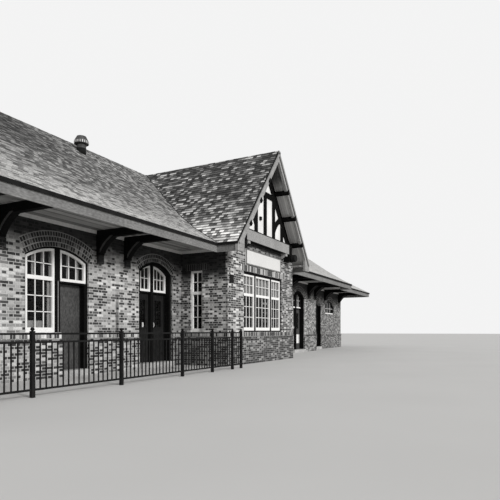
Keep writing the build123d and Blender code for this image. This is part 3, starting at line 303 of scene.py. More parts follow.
def painted_light_and_dirt(tree, uneven):
    """Places where the walls are darker, or lighter where the depth is negative: painted shade and light,
    soot and dirt.
    """
    x, y, height = tree.parts()
    off = tree.math("ABSOLUTE", x)
    bay = tree.below(y, BAY_FROM_Y)
    bay_side = tree.times(bay, tree.above(y, BAY_FRONT_FROM_Y))
    bay_front = tree.below(y, BAY_FRONT_FROM_Y)
    beside_bay = tree.times(tree.below(off, BAY_X + 0.50), tree.below(y, 0.0))
    right_end = tree.line(tree.step(off, 10.2, 10.6), 0.45, tree.step(off, 8.5, 8.9))
    near_wall = tree.step(y, -4.5, -4.2)
    left_edge = tree.rest(tree.step(x, -2.75, -2.45))
    under_beam = tree.times(tree.step(height, 3.80, 3.86), 0.35)
    under_beam = tree.line(tree.step(height, 3.92, 4.02), 0.6, under_beam)
    return (
        # Painted shade on the main wall in the corner beside the bay
        (tree.times(beside_bay, tree.rest(bay)), 0.52),
        (tree.times(right_end, tree.above(x, 0.0)), 0.32),
        (tree.times(bay, tree.below(height, SILL_Z)), 0.30),
        # Painted shade on the sides of the bay near the main wall, painted light further out
        (tree.times(bay_side, near_wall), 0.15),
        (tree.times(bay_side, tree.rest(near_wall)), -0.40),
        # Painted shade along the left edge of the bay front
        (tree.times(bay_front, left_edge), 0.58),
        (tree.times(bay_front, tree.below(x, -1.5)), -0.26),
        # Painted shadow on the bay front under the tie beam
        (tree.times(bay_front, under_beam), 1.0),
        # Soot and painted shade under the deep eaves
        (soot_and_eave_shade(tree, uneven), 0.96),
        (dirt_run(tree, uneven), 0.65),
    )


def brick_finish(tree, pick, mask):
    """Brick colour by the random pick, mortar where the mask is 1."""
    grain = tree.noise(38, 4)
    _, y, height = tree.parts()
    bay = tree.below(y, BAY_FROM_Y)
    # The plinth and the bay have more dark bricks
    pick = tree.line(tree.below(height, LEDGE_TOP), -0.12, pick)
    pick = tree.line(bay, -0.16, pick)
    face = tree.mottle(tree.ramp(pick, BRICK_STOPS), grain, 0.55, 1.45)
    face = tree.mottle(face, tree.noise(0.55, 2), 0.5, 1.5)
    joints = tree.mottle(tint(MORTAR_TONE), tree.noise(14, 3), 0.6, 1.3)
    color = tree.mix(mask, face, tree.darken(joints, bay, 0.25))
    for where, depth in painted_light_and_dirt(tree, tree.noise(3.0, 3)):
        color = tree.darken(color, where, depth)
    tree.bump(tree.math("SUBTRACT", tree.times(grain, 0.25), mask), 0.006)
    return tree.finish(color, Roughness=0.9)


def brick_wall():
    """Long and short bricks by turns with light joints, laid along x on faces towards y."""
    tree = Tree("brick_wall")
    x, y, z = tree.parts()
    nx, _, nz = tree.normal_parts()
    across = tree.choose(tree.above(tree.math("ABSOLUTE", nx), 0.7), x, y)
    up = tree.choose(tree.above(tree.math("ABSOLUTE", nz), 0.7), z, y)
    row_at = tree.math("DIVIDE", up, COURSE)
    row = tree.math("FLOOR", row_at)
    shift = tree.times(tree.math("MODULO", row, 2.0), 0.5)
    column_at = tree.math("ADD", tree.math("DIVIDE", across, BRICK + SHORT_BRICK), shift)
    column = tree.math("FLOOR", column_at)
    along = tree.math("FRACT", column_at)
    share = BRICK / (BRICK + SHORT_BRICK)
    short = tree.above(along, share)
    to_end = tree.math("MINIMUM", along, tree.rest(along))
    to_joint = tree.math("MINIMUM", tree.distance(along, share), to_end)
    in_row = tree.distance(tree.math("FRACT", row_at), 0.5)
    wobble = tree.times(tree.math("SUBTRACT", tree.noise(22, 2), 0.5), 0.06)
    bed_joint = tree.step(tree.math("ADD", in_row, wobble), *BED_JOINT)
    end_joint = tree.step(tree.math("ADD", to_joint, tree.times(wobble, 0.3)), *END_JOINT)
    joint = tree.math("MAXIMUM", bed_joint, tree.rest(end_joint))
    # Short bricks are dark more often than long ones
    pick = tree.random(row, tree.line(column, 2.0, short))
    pick = tree.times(pick, tree.line(short, -0.06, 0.82))
    pick = tree.math("ADD", pick, tree.line(short, -0.18, 0.18))
    return brick_finish(tree, pick, joint)


def laid_brick():
    """Single bricks that are modelled one by one."""
    tree = Tree("laid_brick")
    return brick_finish(tree, tree.attribute("tone"), 0.0)


def mortar():
    tree = Tree("mortar")
    color = tree.ramp(tree.noise(16, 4), ((0.3, 0.38), (0.7, 0.58)))
    tree.bump(tree.noise(60, 3), 0.003)
    # Soot and painted shade under the deep eaves
    return tree.finish(tree.darken(color, soot_and_eave_shade(tree, tree.noise(3.0, 3)), 0.65), Roughness=0.95)


def concrete():
    tree = Tree("concrete")
    color = tree.ramp(tree.noise(9, 5), ((0.3, 0.30), (0.7, 0.48)))
    tree.bump(tree.noise(80, 3), 0.002)
    return tree.finish(tree.mottle(color, tree.noise(1.3, 4), 0.6, 1.4), Roughness=0.9)


def stucco():
    tree = Tree("stucco")
    stain = tree.noise(1.0, 4, tree.stretched(3, 3, 0.6))
    color = tree.ramp(tree.noise(3, 4), ((0.3, 0.74), (0.7, 0.86)))
    tree.bump(tree.noise(45, 4), 0.006)
    return tree.finish(tree.mottle(color, stain, 0.86, 1.11), Roughness=0.95)


def shingle(name, dark, light, eave_lightening):
    """Asphalt tabs, each with its own tone, speckled with grit and with painted shadow below the edge of the
    next row.
    """
    tree = Tree(name)
    x, y, height = tree.parts()
    grit = tree.noise(140, 2)
    streak = tree.noise(1.0, 3, tree.stretched(1.6, 1.6, 0.35))
    color = tree.ramp(tree.attribute("tone"), ((0.0, dark), (0.5, dark + 0.3 * light), (1.0, light)))
    color = tree.mottle(color, grit, 0.55, 1.45)
    # Painted shadow on the upper part of each tab, below the edge of the next row
    color = tree.darken(color, tree.step(tree.attribute("rise"), 0.50, 0.75), 0.72)
    color = tree.mottle(color, tree.noise(0.5, 3), 0.75, 1.25)
    color = tree.mottle(color, streak, 0.85, 1.15)
    # Lighter towards the eaves and paler on the right part of the front
    color = tree.darken(color, tree.rest(tree.step(height, 3.9, 5.2)), -eave_lightening)
    front = tree.rest(tree.step(y, -0.6, 1.4))
    right = tree.times(tree.step(x, 3.2, 5.0), front)
    color = tree.mix(tree.times(right, 0.68), color, (*tint(0.55), 1))
    # Dark near the ridge at the left
    high = tree.times(tree.step(height, 5.2, 6.6), tree.rest(tree.step(x, -7.2, -3.8)))
    tree.bump(grit, 0.003)
    return tree.finish(tree.darken(color, high, 0.60), Roughness=0.92)


def painted_wood(name, dark, light, stretch=(1, 1, 1), rough=0.6, wear=0.3, shine=0.15):
    """Painted timber with its grain stretched along one axis and uneven wear."""
    tree = Tree(name)
    grain = tree.noise(30, 4, tree.stretched(*stretch))
    color = tree.ramp(grain, ((0.3, dark), (0.7, light)))
    color = tree.mottle(color, tree.noise(1.7, 4), 1 - wear, 1 + wear)
    tree.bump(grain, 0.0015)
    return tree.finish(color, Roughness=rough, Specular_IOR_Level=shine)


BOARD_WIDTH = 0.09
BOARD_LENGTH = 3.1


def boarded(name, dark, light):
    """Narrow boards along the eaves with dark joints."""
    tree = Tree(name)
    x, y, z = tree.parts()
    board = tree.math("DIVIDE", y, BOARD_WIDTH)
    joint = tree.step(tree.distance(tree.math("FRACT", board), 0.5), 0.44, 0.48)
    tone = tree.random(tree.math("FLOOR", board), tree.math("FLOOR", tree.math("DIVIDE", x, BOARD_LENGTH)))
    tone = tree.math("ADD", tree.times(tone, 0.6), tree.times(tree.noise(2, 3), 0.4))
    color = tree.darken(tree.ramp(tone, ((0.2, dark), (0.8, light))), joint, 0.55)
    # Painted shadow under the peak of the gable
    color = tree.darken(color, tree.step(z, 6.2, 6.7), 0.88)
    tree.bump(tree.rest(joint), 0.004)
    return tree.finish(color, Roughness=0.7)


def metal(name, dark, light, rough):
    tree = Tree(name)
    tree.bump(tree.noise(90, 2), 0.0006)
    color = tree.ramp(tree.noise(6, 5), ((0.35, dark), (0.7, light)))
    return tree.finish(color, Roughness=rough, Specular_IOR_Level=0.2)


def glass():
    """Dark panes that mirror the sky and let a little of the room through."""
    tree = Tree("glass")
    tree.bump(tree.noise(2.2, 1), 0.004, 0.35)
    color = tree.ramp(tree.noise(0.8, 2), ((0.3, 0.003), (0.7, 0.012)))
    return tree.finish(color, Roughness=0.06, Alpha=0.28, Specular_IOR_Level=0.3)


def plain(name, tone):
    """Floor of the studio."""
    tree = Tree(name)
    color = tree.ramp(tree.noise(0.4, 2), ((0.3, tone * 0.98), (0.7, tone * 1.02)))
    return tree.finish(color, Roughness=0.9)


ALONG_X = (0.4, 1, 1)
HANGING = (1, 1, 0.2)
BRICK_WALL = brick_wall()
LAID_BRICK = laid_brick()
MORTAR = mortar()
CONCRETE = concrete()
STUCCO = stucco()
MAIN_SHINGLE = shingle("main_shingle", 0.07, 0.54, 0.30)
BAY_SHINGLE = shingle("bay_shingle", 0.04, 0.72, 0.75)
DARK_WOOD = painted_wood("dark_wood", 0.003, 0.009, shine=0.03)
# Painted highlight along the curved braces
BRACE_HIGHLIGHT = painted_wood("brace_highlight", 0.05, 0.09)
VERGE_BOARDS = boarded("verge_boards", 0.50, 0.68)
BLIND = painted_wood("blind_cloth", 0.62, 0.80, HANGING, rough=0.9)
# Painted shade: sheets that stand for the dark rooms behind the windows
SHADE_CLOTH = painted_wood("room_shade_cloth", 0.01, 0.02, HANGING, rough=0.9, shine=0.03)
TRIM_WOOD = painted_wood("trim_wood", 0.12, 0.24, ALONG_X, wear=0.45)
BARGE_WOOD = painted_wood("barge_wood", 0.22, 0.36, ALONG_X, wear=0.35)
FRIEZE_WOOD = painted_wood("frieze_wood", 0.50, 0.65, ALONG_X)
WHITE_WOOD = painted_wood("white_wood", 0.74, 0.86, wear=0.08)
DOOR_PAINT = painted_wood("door_paint", 0.035, 0.085, (1, 1, 0.5), rough=0.45, wear=0.5)
PAIR_PAINT = painted_wood("pair_door_paint", 0.007, 0.022, (1, 1, 0.3), rough=0.5, shine=0.06)
SIGN_PAINT = painted_wood("sign_paint", 0.60, 0.70, wear=0.06)
SOFFIT = boarded("boarded_soffit", 0.16, 0.46)
IRON = metal("black_iron", 0.004, 0.010, 0.8)
SHEET_METAL = metal("sheet_metal", 0.04, 0.10, 0.5)
# Black metal; on the edges of the eaves and verges its black is also painted shadow
DRIP_METAL = metal("drip_metal", 0.004, 0.010, 0.85)
BRIGHT_METAL = metal("bright_metal", 0.50, 0.65, 0.35)
GLASS = glass()

# Materials and the CAD nodes that have them
NODE_LOOKS = (
    (BRICK_WALL, (
        "back_wall", "bay_front_wall", "bay_side_walls", "end_section_back_walls", "end_section_front_walls",
        "end_section_outer_walls", "front_wall_arches", "front_wall_left_piers", "front_wall_right_piers",
        "main_end_walls", "window_aprons",
    )),
    (CONCRETE, ("bay_floor", "door_steps", "floor")),
    (STUCCO, ("gable_wall",)),
    (MAIN_SHINGLE, ("end_roof_left", "end_roof_right", "main_roof")),
    (BAY_SHINGLE, ("bay_roof",)),
    (DARK_WOOD, (
        "back_brackets", "bay_window_frame", "door_heads", "door_posts", "door_stops", "end_section_brackets",
        "end_section_doors", "front_brackets", "gable_feet", "gable_outlookers", "gable_timbers",
    )),
    (TRIM_WOOD, ("long_fascias", "return_fascias")),
    (BARGE_WOOD, ("barge_boards", "tie_beam")),
    (SOFFIT, ("main_ceiling", "outer_soffits")),
    (WHITE_WOOD, ("back_sashes", "bay_sashes", "front_sashes")),
    (SIGN_PAINT, ("name_board",)),
    (DOOR_PAINT, ("left_door", "right_door", "right_fixed_leaf")),
    (PAIR_PAINT, ("pair_door_left", "pair_door_right")),
    (GLASS, (
        "back_glass", "front_glass", "pair_door_left_glass", "pair_door_right_glass", "right_door_glass",
        "right_fixed_leaf_glass",
    )),
    (IRON, ("door_hinges", "fence_panels", "fence_posts", "gable_lamp")),
    (SHEET_METAL, ("roof_vent",)),
)
for material, names in NODE_LOOKS:
    for name in names:
        slots = NODES[name].data.materials
        slots.clear()
        slots.append(material)


def faces_down(face):
    return face.normal.z < -0.3


def in_shaded_far_light(face):
    """On the upper lights of the doorway right of the bay, above the rail below them, where the frames get
    painted shade.
    """
    return face.center.x > 6.9 and face.center.z > 2.37


# Boards below the verge, painted shade on the underside of the tie beam, and painted shade on the upper
# lights right of the bay
for name, material, chosen in (
    ("bay_roof", VERGE_BOARDS, faces_down),
    ("tie_beam", DARK_WOOD, faces_down),
    ("front_sashes", PAIR_PAINT, in_shaded_far_light),
):
    mesh = NODES[name].data
    mesh.materials.append(material)
    for face in mesh.polygons:
        face.material_index = int(chosen(face))


# Mesh building
class Pile:
    """Collects solids into one joined mesh, each with its own tone."""

    def __init__(self):
        self.points = []
        self.faces = []
        self.tones = []
        self.rises = {}

    def add(self, points, faces, tone=0.5):
        base = len(self.points)
        self.points.extend(points)
        for face in faces:
            self.faces.append([base + k for k in face])
            self.tones.append(tone)

    def box(self, x, y, z, tone=0.5):
        points = [(a, b, c) for c in z for b in y for a in x]
        faces = [(0, 2, 3, 1), (4, 5, 7, 6), (0, 1, 5, 4), (2, 6, 7, 3), (0, 4, 6, 2), (1, 3, 7, 5)]
        self.add(points, faces, tone)

    def ring(self, x, y, z, width):
        """Four bars along the sides of a rectangle, inside it."""
        for bar in ((x[0], x[0] + width), (x[1] - width, x[1])):
            self.box(bar, y, z)
        for bar in ((z[0], z[0] + width), (z[1] - width, z[1])):
            self.box((x[0] + width, x[1] - width), y, bar)

    def prism(self, low, high, tone=0.5, closed=True):
        """Solid between two loops with the same number of points; high faces outward."""
        count = len(low)
        faces = [(k, (k + 1) % count, count + (k + 1) % count, count + k) for k in range(count)]
        faces.append(tuple(range(count, 2 * count)))
        if closed:
            faces.append(tuple(range(count - 1, -1, -1)))
        self.add(list(low) + list(high), faces, tone)

    def slab(self, loop, back, front, tone=0.5):
        """Outline of (x, z) points, solid between two values of y."""
        self.prism([(x, back, z) for x, z in loop], [(x, front, z) for x, z in loop], tone)

    def make(self, name, material, body="building"):
        mesh = bpy.data.meshes.new(name)
        mesh.from_pydata([tuple(p) for p in self.points], [], self.faces)
        tone = mesh.attributes.new("tone", "FLOAT", "FACE")
        tone.data.foreach_set("value", np.array(self.tones, np.float32))
        if self.rises:
            rise = mesh.attributes.new("rise", "FLOAT", "POINT")
            rise.data.foreach_set("value", [self.rises.get(k, 0.0) for k in range(len(self.points))])
        mesh.materials.append(material)
        mesh.update()
        piece = bpy.data.objects.new(name, mesh)
        bpy.context.scene.collection.objects.link(piece)
        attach(piece, body)
        return piece


# Shingles laid on every slope; u runs along a slope and s up it
WHOLE_ROW = (-99, 99)
TAB_GAP = 0.004
TAB_LIFT = 0.0005
TAB_EDGE = 0.002
TAB_THICK = (0.007, 0.013)
SMALLEST_TAB = 2e-4


def sides(polygon):
    """Each corner of a polygon with the next one."""
    return zip(polygon, polygon[1:] + polygon[:1])


def clip(polygon, a, b, c):
    """The part of a flat polygon where a * u + b * s <= c."""
    kept = []
    for (u0, s0), (u1, s1) in sides(polygon):
        here = a * u0 + b * s0 - c
        there = a * u1 + b * s1 - c
        if here <= 0:
            kept.append((u0, s0))
        if (here < 0) != (there < 0) and abs(here - there) > 1e-12:
            t = here / (here - there)
            kept.append((u0 + t * (u1 - u0), s0 + t * (s1 - s0)))
    return kept


def area(polygon):
    return abs(sum(u0 * s1 - u1 * s0 for (u0, s0), (u1, s1) in sides(polygon))) / 2


def edges_of(flat):
    """Sides of a flat triangle as (a, b, c), with a * u + b * s <= c inside it."""
    middle = (sum(p[0] for p in flat) / 3, sum(p[1] for p in flat) / 3)
    edges = []
    for (u0, s0), (u1, s1) in sides(flat):
        a, b = s1 - s0, u0 - u1
        c = a * u0 + b * s0
        if a * middle[0] + b * middle[1] > c:
            a, b, c = -a, -b, -c
        size = math.hypot(a, b)
        edges.append((a / size, b / size, c / size))
    return edges


def patch(left, right, low, high, edges):
    """The part of a rectangle that lies within all the edges."""
    polygon = [(left, low), (right, low), (right, high), (left, high)]
    for edge in edges:
        polygon = clip(polygon, *edge) if polygon else polygon
    return polygon


def lay_tabs(pile, corners, normal, fleck, tab_w, tab_h):
    """Lays tabs over one flat triangle of a roof."""
    along = Vector((0, 0, 1)).cross(normal).normalized()
    rise = normal.cross(along).normalized()
    origin = normal * corners[0].dot(normal)
    flat = [(p.dot(along), p.dot(rise)) for p in corners]
    edges = edges_of(flat)
    seed = int(normal.x * 50) * 13 + int(normal.y * 50)
    first = math.floor(min(s for u, s in flat) / tab_h)
    last = math.ceil(max(s for u, s in flat) / tab_h)
    for row in range(first, last):
        low = row * tab_h
        strip = patch(*WHOLE_ROW, low, low + tab_h, edges)
        if len(strip) < 3:
            continue
        shift = (row % 2) * 0.5 + random.Random(row * 31 + 5).uniform(-0.12, 0.12)
        start = math.floor(min(u for u, s in strip) / tab_w - shift)
        stop = math.ceil(max(u for u, s in strip) / tab_w - shift)
        for column in range(start, stop + 1):
            pick = random.Random(row * 7919 + column * 104729 + seed)
            left = (column + shift) * tab_w
            tab = patch(left + TAB_GAP, left + tab_w - TAB_GAP, low, low + tab_h, edges)
            if len(tab) < 3 or area(tab) < SMALLEST_TAB:
                continue
            thick = pick.uniform(*TAB_THICK)
            base = [origin + along * u + rise * s + normal * TAB_LIFT for u, s in tab]
            # Paler towards the eaves
            tone = pick.random() ** (fleck * min(1.0, 0.2 + (base[0].z - EAVE_TOP) / 3.0))
            top = []
            for (u, s), point in zip(tab, base):
                share = (s - low) / tab_h
                pile.rises[len(pile.points) + len(tab) + len(top)] = share
                top.append(point + normal * (TAB_EDGE + thick * (1 - share)))
            pile.prism(base, top, tone, closed=False)


def shingles(name, node, material, fleck=1.0, tab_w=0.17, tab_h=0.127):
    """Covers the outer slopes of a roof node; a higher fleck gives fewer light tabs."""
    mesh = NODES[node].data
    mesh.calc_loop_triangles()
    seen = {}
    for face in mesh.loop_triangles:
        normal = face.normal
        if normal.z < 0.3 or normal.z > 0.99:
            continue
        corners = [mesh.vertices[k].co.copy() for k in face.vertices]
        key = tuple(round(v, 2) for v in normal)
        seen.setdefault(key, []).append((corners[0].dot(normal), corners, normal.copy()))
    pile = Pile()
    for group in seen.values():
        outer = max(distance for distance, corners, normal in group)
        for distance, corners, normal in group:
            if distance > outer - 0.02:
                lay_tabs(pile, corners, normal, fleck, tab_w, tab_h)
    pile.make(name, material)


shingles("main_shingles", "main_roof", MAIN_SHINGLE, 1.3, 0.13, 0.11)
shingles("bay_shingles", "bay_roof", BAY_SHINGLE, 2.4, 0.155)
shingles("end_shingles_left", "end_roof_left", MAIN_SHINGLE)
shingles("end_shingles_right", "end_roof_right", MAIN_SHINGLE)


def arch_circle(opening):
    """Radius and centre height of the arc over an opening."""
    low, high, spring, crown = opening
    half = (high - low) / 2
    rise = crown - spring
    radius = (half * half + rise * rise) / (2 * rise)
    return radius, crown - radius


# Single bricks, and the mortar between them
bricks = Pile()
beds = Pile()

# Brick arches: rings of bricks on edge round each head
RING_STEP = 0.122
RING_DEPTH = 0.098
RING_BRICK = 0.074
RING_JOINT = 0.003
RING_OVERHANG = 0.01
RING_SPREAD = 0.045
RING_PROUD = 0.008
BED_PROUD = 0.003
BED_STEPS = 16


def arch_rings(opening, wall):
    """Two rings over an opening, or three over a wide one."""
    low, high = opening[:2]
    middle = (low + high) / 2
    radius, centre_z = arch_circle(opening)
    face_y, out = wall
    back = face_y - out * 0.02

    def loop(first, last, inner, outer):
        corners = ((first, inner), (last, inner), (last, outer), (first, outer))
        return [(middle + r * math.sin(angle), centre_z + r * math.cos(angle)) for angle, r in corners]

    for ring in range(3 if opening[2:] == WIDE_HEAD else 2):
        inner = radius + RING_JOINT + ring * RING_STEP
        outer = inner + RING_DEPTH
        half = (high - low) / 2 + RING_OVERHANG + RING_SPREAD * ring
        sweep = math.asin(min(1.0, half / inner))
        count = round(2 * sweep * inner / RING_BRICK)
        front = face_y + out * (RING_PROUD - 0.002 * ring)
        for k in range(count):
            first = -sweep + 2 * sweep * k / count
            last = -sweep + 2 * sweep * (k + 1) / count
            trim = 0.12 * (last - first)
            tone = 0.75 * rng.random() ** 1.4
            bricks.slab(loop(first + trim, last - trim, inner, outer), back, front, tone)
        for k in range(BED_STEPS):
            first = -sweep + 2 * sweep * k / BED_STEPS
            last = -sweep + 2 * sweep * (k + 1) / BED_STEPS
            whole = loop(first, last, inner - RING_JOINT, outer + 0.022)
            beds.slab(whole, back, face_y + out * BED_PROUD)


for opening in FRONT_OPENINGS:
    arch_rings(opening, FRONT)
for opening in BACK_OPENINGS:
    arch_rings(opening, BACK)
for opening in END_DOORS:
    arch_rings(opening, END_FRONT)
for opening in END_WINDOWS:
    arch_rings(opening, END_FRONT)
    arch_rings(opening, END_BACK)

# Bricks on end: along the walls below the sills, and over the windows of the bay
SOLDIER_Z = (0.925, 1.065)
SOLDIER_STEP = 0.072
SOLDIER_GAP = 0.007
BAY_LINTEL_X = (-1.75, 1.75)
BAY_LINTEL_Z = (3.10, 3.30)
SIDE_LINTEL_Y = (-4.60, -3.80)
SIDE_LINTEL_Z = (3.05, 3.25)
DOOR_LOW, DOOR_HIGH = END_DOORS[0][:2]


def soldiers(span, face, z=SOLDIER_Z, along_x=True, out=-1):
    """Upright bricks along a wall face; face is its y, or its x when the wall runs along y."""

    def lay(pile, run, proud, z, tone=0.5):
        depth = sorted((face - out * 0.01, face + out * proud))
        x, y = (run, depth) if along_x else (depth, run)
        pile.box(x, y, z, tone)

    low, high = span
    count = max(1, round((high - low) / SOLDIER_STEP))
    step = (high - low) / count
    for k in range(count):
        run = (low + k * step + SOLDIER_GAP, low + (k + 1) * step - SOLDIER_GAP)
        lay(bricks, run, 0.006, (z[0] + 0.004, z[1] - 0.004), 0.1 + 0.9 * rng.random())
    lay(beds, span, 0.002, z)


PIERS = (
    (-MAIN_X, MULLION[1]),
    (LEFT_WIDE[1], LEFT_PAIR[0]),
    (LEFT_PAIR[1], -BAY_X),
    (BAY_X, RIGHT_PAIR[0]),
    (RIGHT_PAIR[1], MAIN_X),
)
for span in PIERS:
    soldiers(span, -MAIN_Y)
soldiers((-BAY_X, BAY_X), BAY_FRONT)
soldiers(BAY_LINTEL_X, BAY_FRONT, BAY_LINTEL_Z)
for side in (-1, 1):
    soldiers((BAY_FRONT, -MAIN_Y), side * BAY_X, SOLDIER_Z, False, side)
    soldiers(SIDE_LINTEL_Y, side * BAY_X, SIDE_LINTEL_Z, False, side)
    soldiers((-MAIN_Y, -END_Y), side * MAIN_X, SOLDIER_Z, False, side)
    soldiers((END_Y, MAIN_Y), side * MAIN_X, SOLDIER_Z, False, side)
    soldiers((-END_Y, END_Y), side * END_X, SOLDIER_Z, False, side)
    soldiers(mirrored(side, MAIN_X, DOOR_LOW), -END_Y)
    soldiers(mirrored(side, DOOR_HIGH, END_X), -END_Y)
    soldiers(mirrored(side, MAIN_X, END_X), END_Y, out=1)
soldiers((-MAIN_X, MAIN_X), MAIN_Y, out=1)
bricks.make("laid_bricks", LAID_BRICK)
beds.make("mortar_beds", MORTAR)

# Boards along the top of the walls
FRIEZE_Z = (WALL_TOP - 0.09, WALL_TOP)
FRIEZE_T = 0.022
LAP = 0.02
frieze = Pile()
for side in (-1, 1):
    frieze.box(mirrored(side, BAY_X + LAP, MAIN_X + LAP), (-MAIN_Y - FRIEZE_T, -MAIN_Y), FRIEZE_Z)
    frieze.box(mirrored(side, BAY_X, BAY_X + FRIEZE_T), (BAY_FRONT, -MAIN_Y - FRIEZE_T), FRIEZE_Z)
    for y in ((-END_Y - FRIEZE_T, -END_Y), (END_Y, END_Y + FRIEZE_T)):
        frieze.box(mirrored(side, MAIN_X, END_X + LAP), y, FRIEZE_Z)
    frieze.box(mirrored(side, END_X, END_X + FRIEZE_T), (-END_Y, END_Y), FRIEZE_Z)
    for y in ((-MAIN_Y, -END_Y - FRIEZE_T), (END_Y + FRIEZE_T, MAIN_Y)):
        frieze.box(mirrored(side, MAIN_X, MAIN_X + FRIEZE_T), y, FRIEZE_Z)
frieze.box((-MAIN_X - LAP, MAIN_X + LAP), (MAIN_Y, MAIN_Y + FRIEZE_T), FRIEZE_Z)
frieze.make("frieze_boards", FRIEZE_WOOD)

# Metal edges along the eaves, on the tie beam and down the verges, black also as painted shadow along these
# edges
EAVE_OUT = 1.62
EAVE_X = MAIN_X + EAVE_OUT
EAVE_Y = MAIN_Y + EAVE_OUT
END_EAVE_X = END_X + EAVE_OUT
END_EAVE_Y = END_Y + EAVE_OUT
BAY_EAVE_X = BAY_X + 0.39
VERGE_Y = BAY_FRONT - 0.58
DRIP_Z = (EAVE_TOP - 0.08, EAVE_TOP + 0.004)
BEAM_CAP_X = (-1.76, 1.76)
BEAM_CAP_Y = (BAY_FRONT - 0.245, BAY_FRONT - 0.05)
BEAM_CAP_Z = (4.430, 4.452)


def drip(side, eave):
    """Thickness of the metal on an eave at that distance from the middle."""
    return mirrored(side, eave - 0.01, eave + 0.004)


def verge_strip(side, low, high):
    """Outline of a strip along a verge, between two depths below its upper edge."""
    foot = Vector((side * BAY_EAVE_X, 0, EAVE_TOP))
    peak = Vector((0, 0, RIDGE_Z))
    slope = (peak - foot).normalized()
    away = Vector((side * slope.z, 0, abs(slope.x)))
    loop = (foot - away * low, peak - away * low, peak - away * high, foot - away * high)
    return [(p.x, p.z) for p in loop]


metal_edges = Pile()
for side in (-1, 1):
    metal_edges.box(mirrored(side, BAY_EAVE_X, EAVE_X), drip(-1, EAVE_Y), DRIP_Z)
    for y in ((-EAVE_Y, -END_EAVE_Y), (END_EAVE_Y, EAVE_Y)):
        metal_edges.box(drip(side, EAVE_X), y, DRIP_Z)
    for way in (-1, 1):
        metal_edges.box(mirrored(side, EAVE_X, END_EAVE_X), drip(way, END_EAVE_Y), DRIP_Z)
    metal_edges.box(drip(side, END_EAVE_X), (-END_EAVE_Y, END_EAVE_Y), DRIP_Z)
    metal_edges.box(drip(side, BAY_EAVE_X), (VERGE_Y, -EAVE_Y), DRIP_Z)
metal_edges.box((-EAVE_X, EAVE_X), drip(1, EAVE_Y), DRIP_Z)
metal_edges.box(BEAM_CAP_X, BEAM_CAP_Y, BEAM_CAP_Z)
for side in (-1, 1):
    metal_edges.slab(verge_strip(side, 0.03, -0.012), VERGE_Y + 0.02, VERGE_Y - 0.006)
metal_edges.make("metal_edges", DRIP_METAL)

# Metal strips down the valleys between main and bay roof, along the bends of the main slope as (y, z)
MAIN_SLOPE = ((EAVE_Y, EAVE_TOP), (4.00, 4.4665), (3.00, 5.1365), (0.0, RIDGE_Z))
STRIP_HALF = 0.022
STRIP_T = 0.012
UP = Vector((0, 0, 1))
valleys = Pile()
for side in (-1, 1):
    line = []
    for y, z in MAIN_SLOPE:
        x = side * (RIDGE_Z - z) * BAY_EAVE_X / (RIDGE_Z - EAVE_TOP)
        line.append(Vector((x, -y, z + STRIP_T)))
    for low, high in zip(line[:-1], line[1:]):
        across = (high - low).cross(UP).normalized() * STRIP_HALF
        loop = [low - across, low + across, high + across, high - across]
        valleys.prism(loop, [p + UP * STRIP_T for p in loop])
valleys.make("valley_strips", DRIP_METAL)

# Moulding along the upper half of each barge board, with a painted shadow line below it
moulding = Pile()
shade = Pile()
for side in (-1, 1):
    moulding.slab(verge_strip(side, 0.11, 0.03), VERGE_Y + 0.002, VERGE_Y - 0.035)
    shade.slab(verge_strip(side, 0.135, 0.11), VERGE_Y + 0.002, VERGE_Y - 0.004)
moulding.make("barge_mouldings", BARGE_WOOD)
shade.make("barge_shadow_lines", DARK_WOOD)

# Glazing bars on the sashes
BAR = 0.020
STILE = 0.06
LOW_RAIL = 0.11
SLIM_RAIL = 0.07
CROSS_Z = 2.67
PAIR_CROSS_Z = 2.69
FRAME = 0.045
PAIR_FRAME = 0.10
SETBACK = 0.06
PAIR_SETBACK = 0.185
END_CROSS_Z = 2.55
END_SILL_Z = 2.2
bars = Pile()


def light_bars(x, z, y, columns, rows, top=None):
    """Bars over one light; top gives the height at x when the head is curved."""
    for k in range(1, columns):
        at = x[0] + (x[1] - x[0]) * k / columns
        high = top(at) if top else z[1]
        bars.box((at - BAR / 2, at + BAR / 2), y, (z[0], high))
    for k in range(1, rows):
        at = z[0] + (z[1] - z[0]) * k / rows
        bars.box(x, y, (at - BAR / 2, at + BAR / 2))


def sash_bars(
    opening, wall, part, columns, cross, rows=0, sill=SILL_Z, bottom=LOW_RAIL, frame=FRAME, setback=SETBACK
):
    """Bars of a sash under an arch: a cross bar in the upper light, and a lower light where it has rows."""
    low, high = opening[:2]
    left = part[0] + STILE + (frame if part[0] == low else 0)
    right = part[1] - STILE - (frame if part[1] == high else 0)
    face_y, out = wall
    y = tuple(sorted((face_y - out * (setback + 0.024), face_y - out * (setback + 0.045))))
    radius, centre_z = arch_circle(opening)

    def top(x):
        off = x - (low + high) / 2
        return centre_z + math.sqrt(max((radius - frame - 0.055) ** 2 - off * off, 0.0))

    start = sill + bottom
    if rows:
        light_bars((left, right), (start, RAIL_Z), y, columns, rows)
        start = RAIL_Z + 0.09
    light_bars((left, right), (start, 0), y, columns, 1, top)
    bars.box((left, right), y, (cross - BAR / 2, cross + BAR / 2))


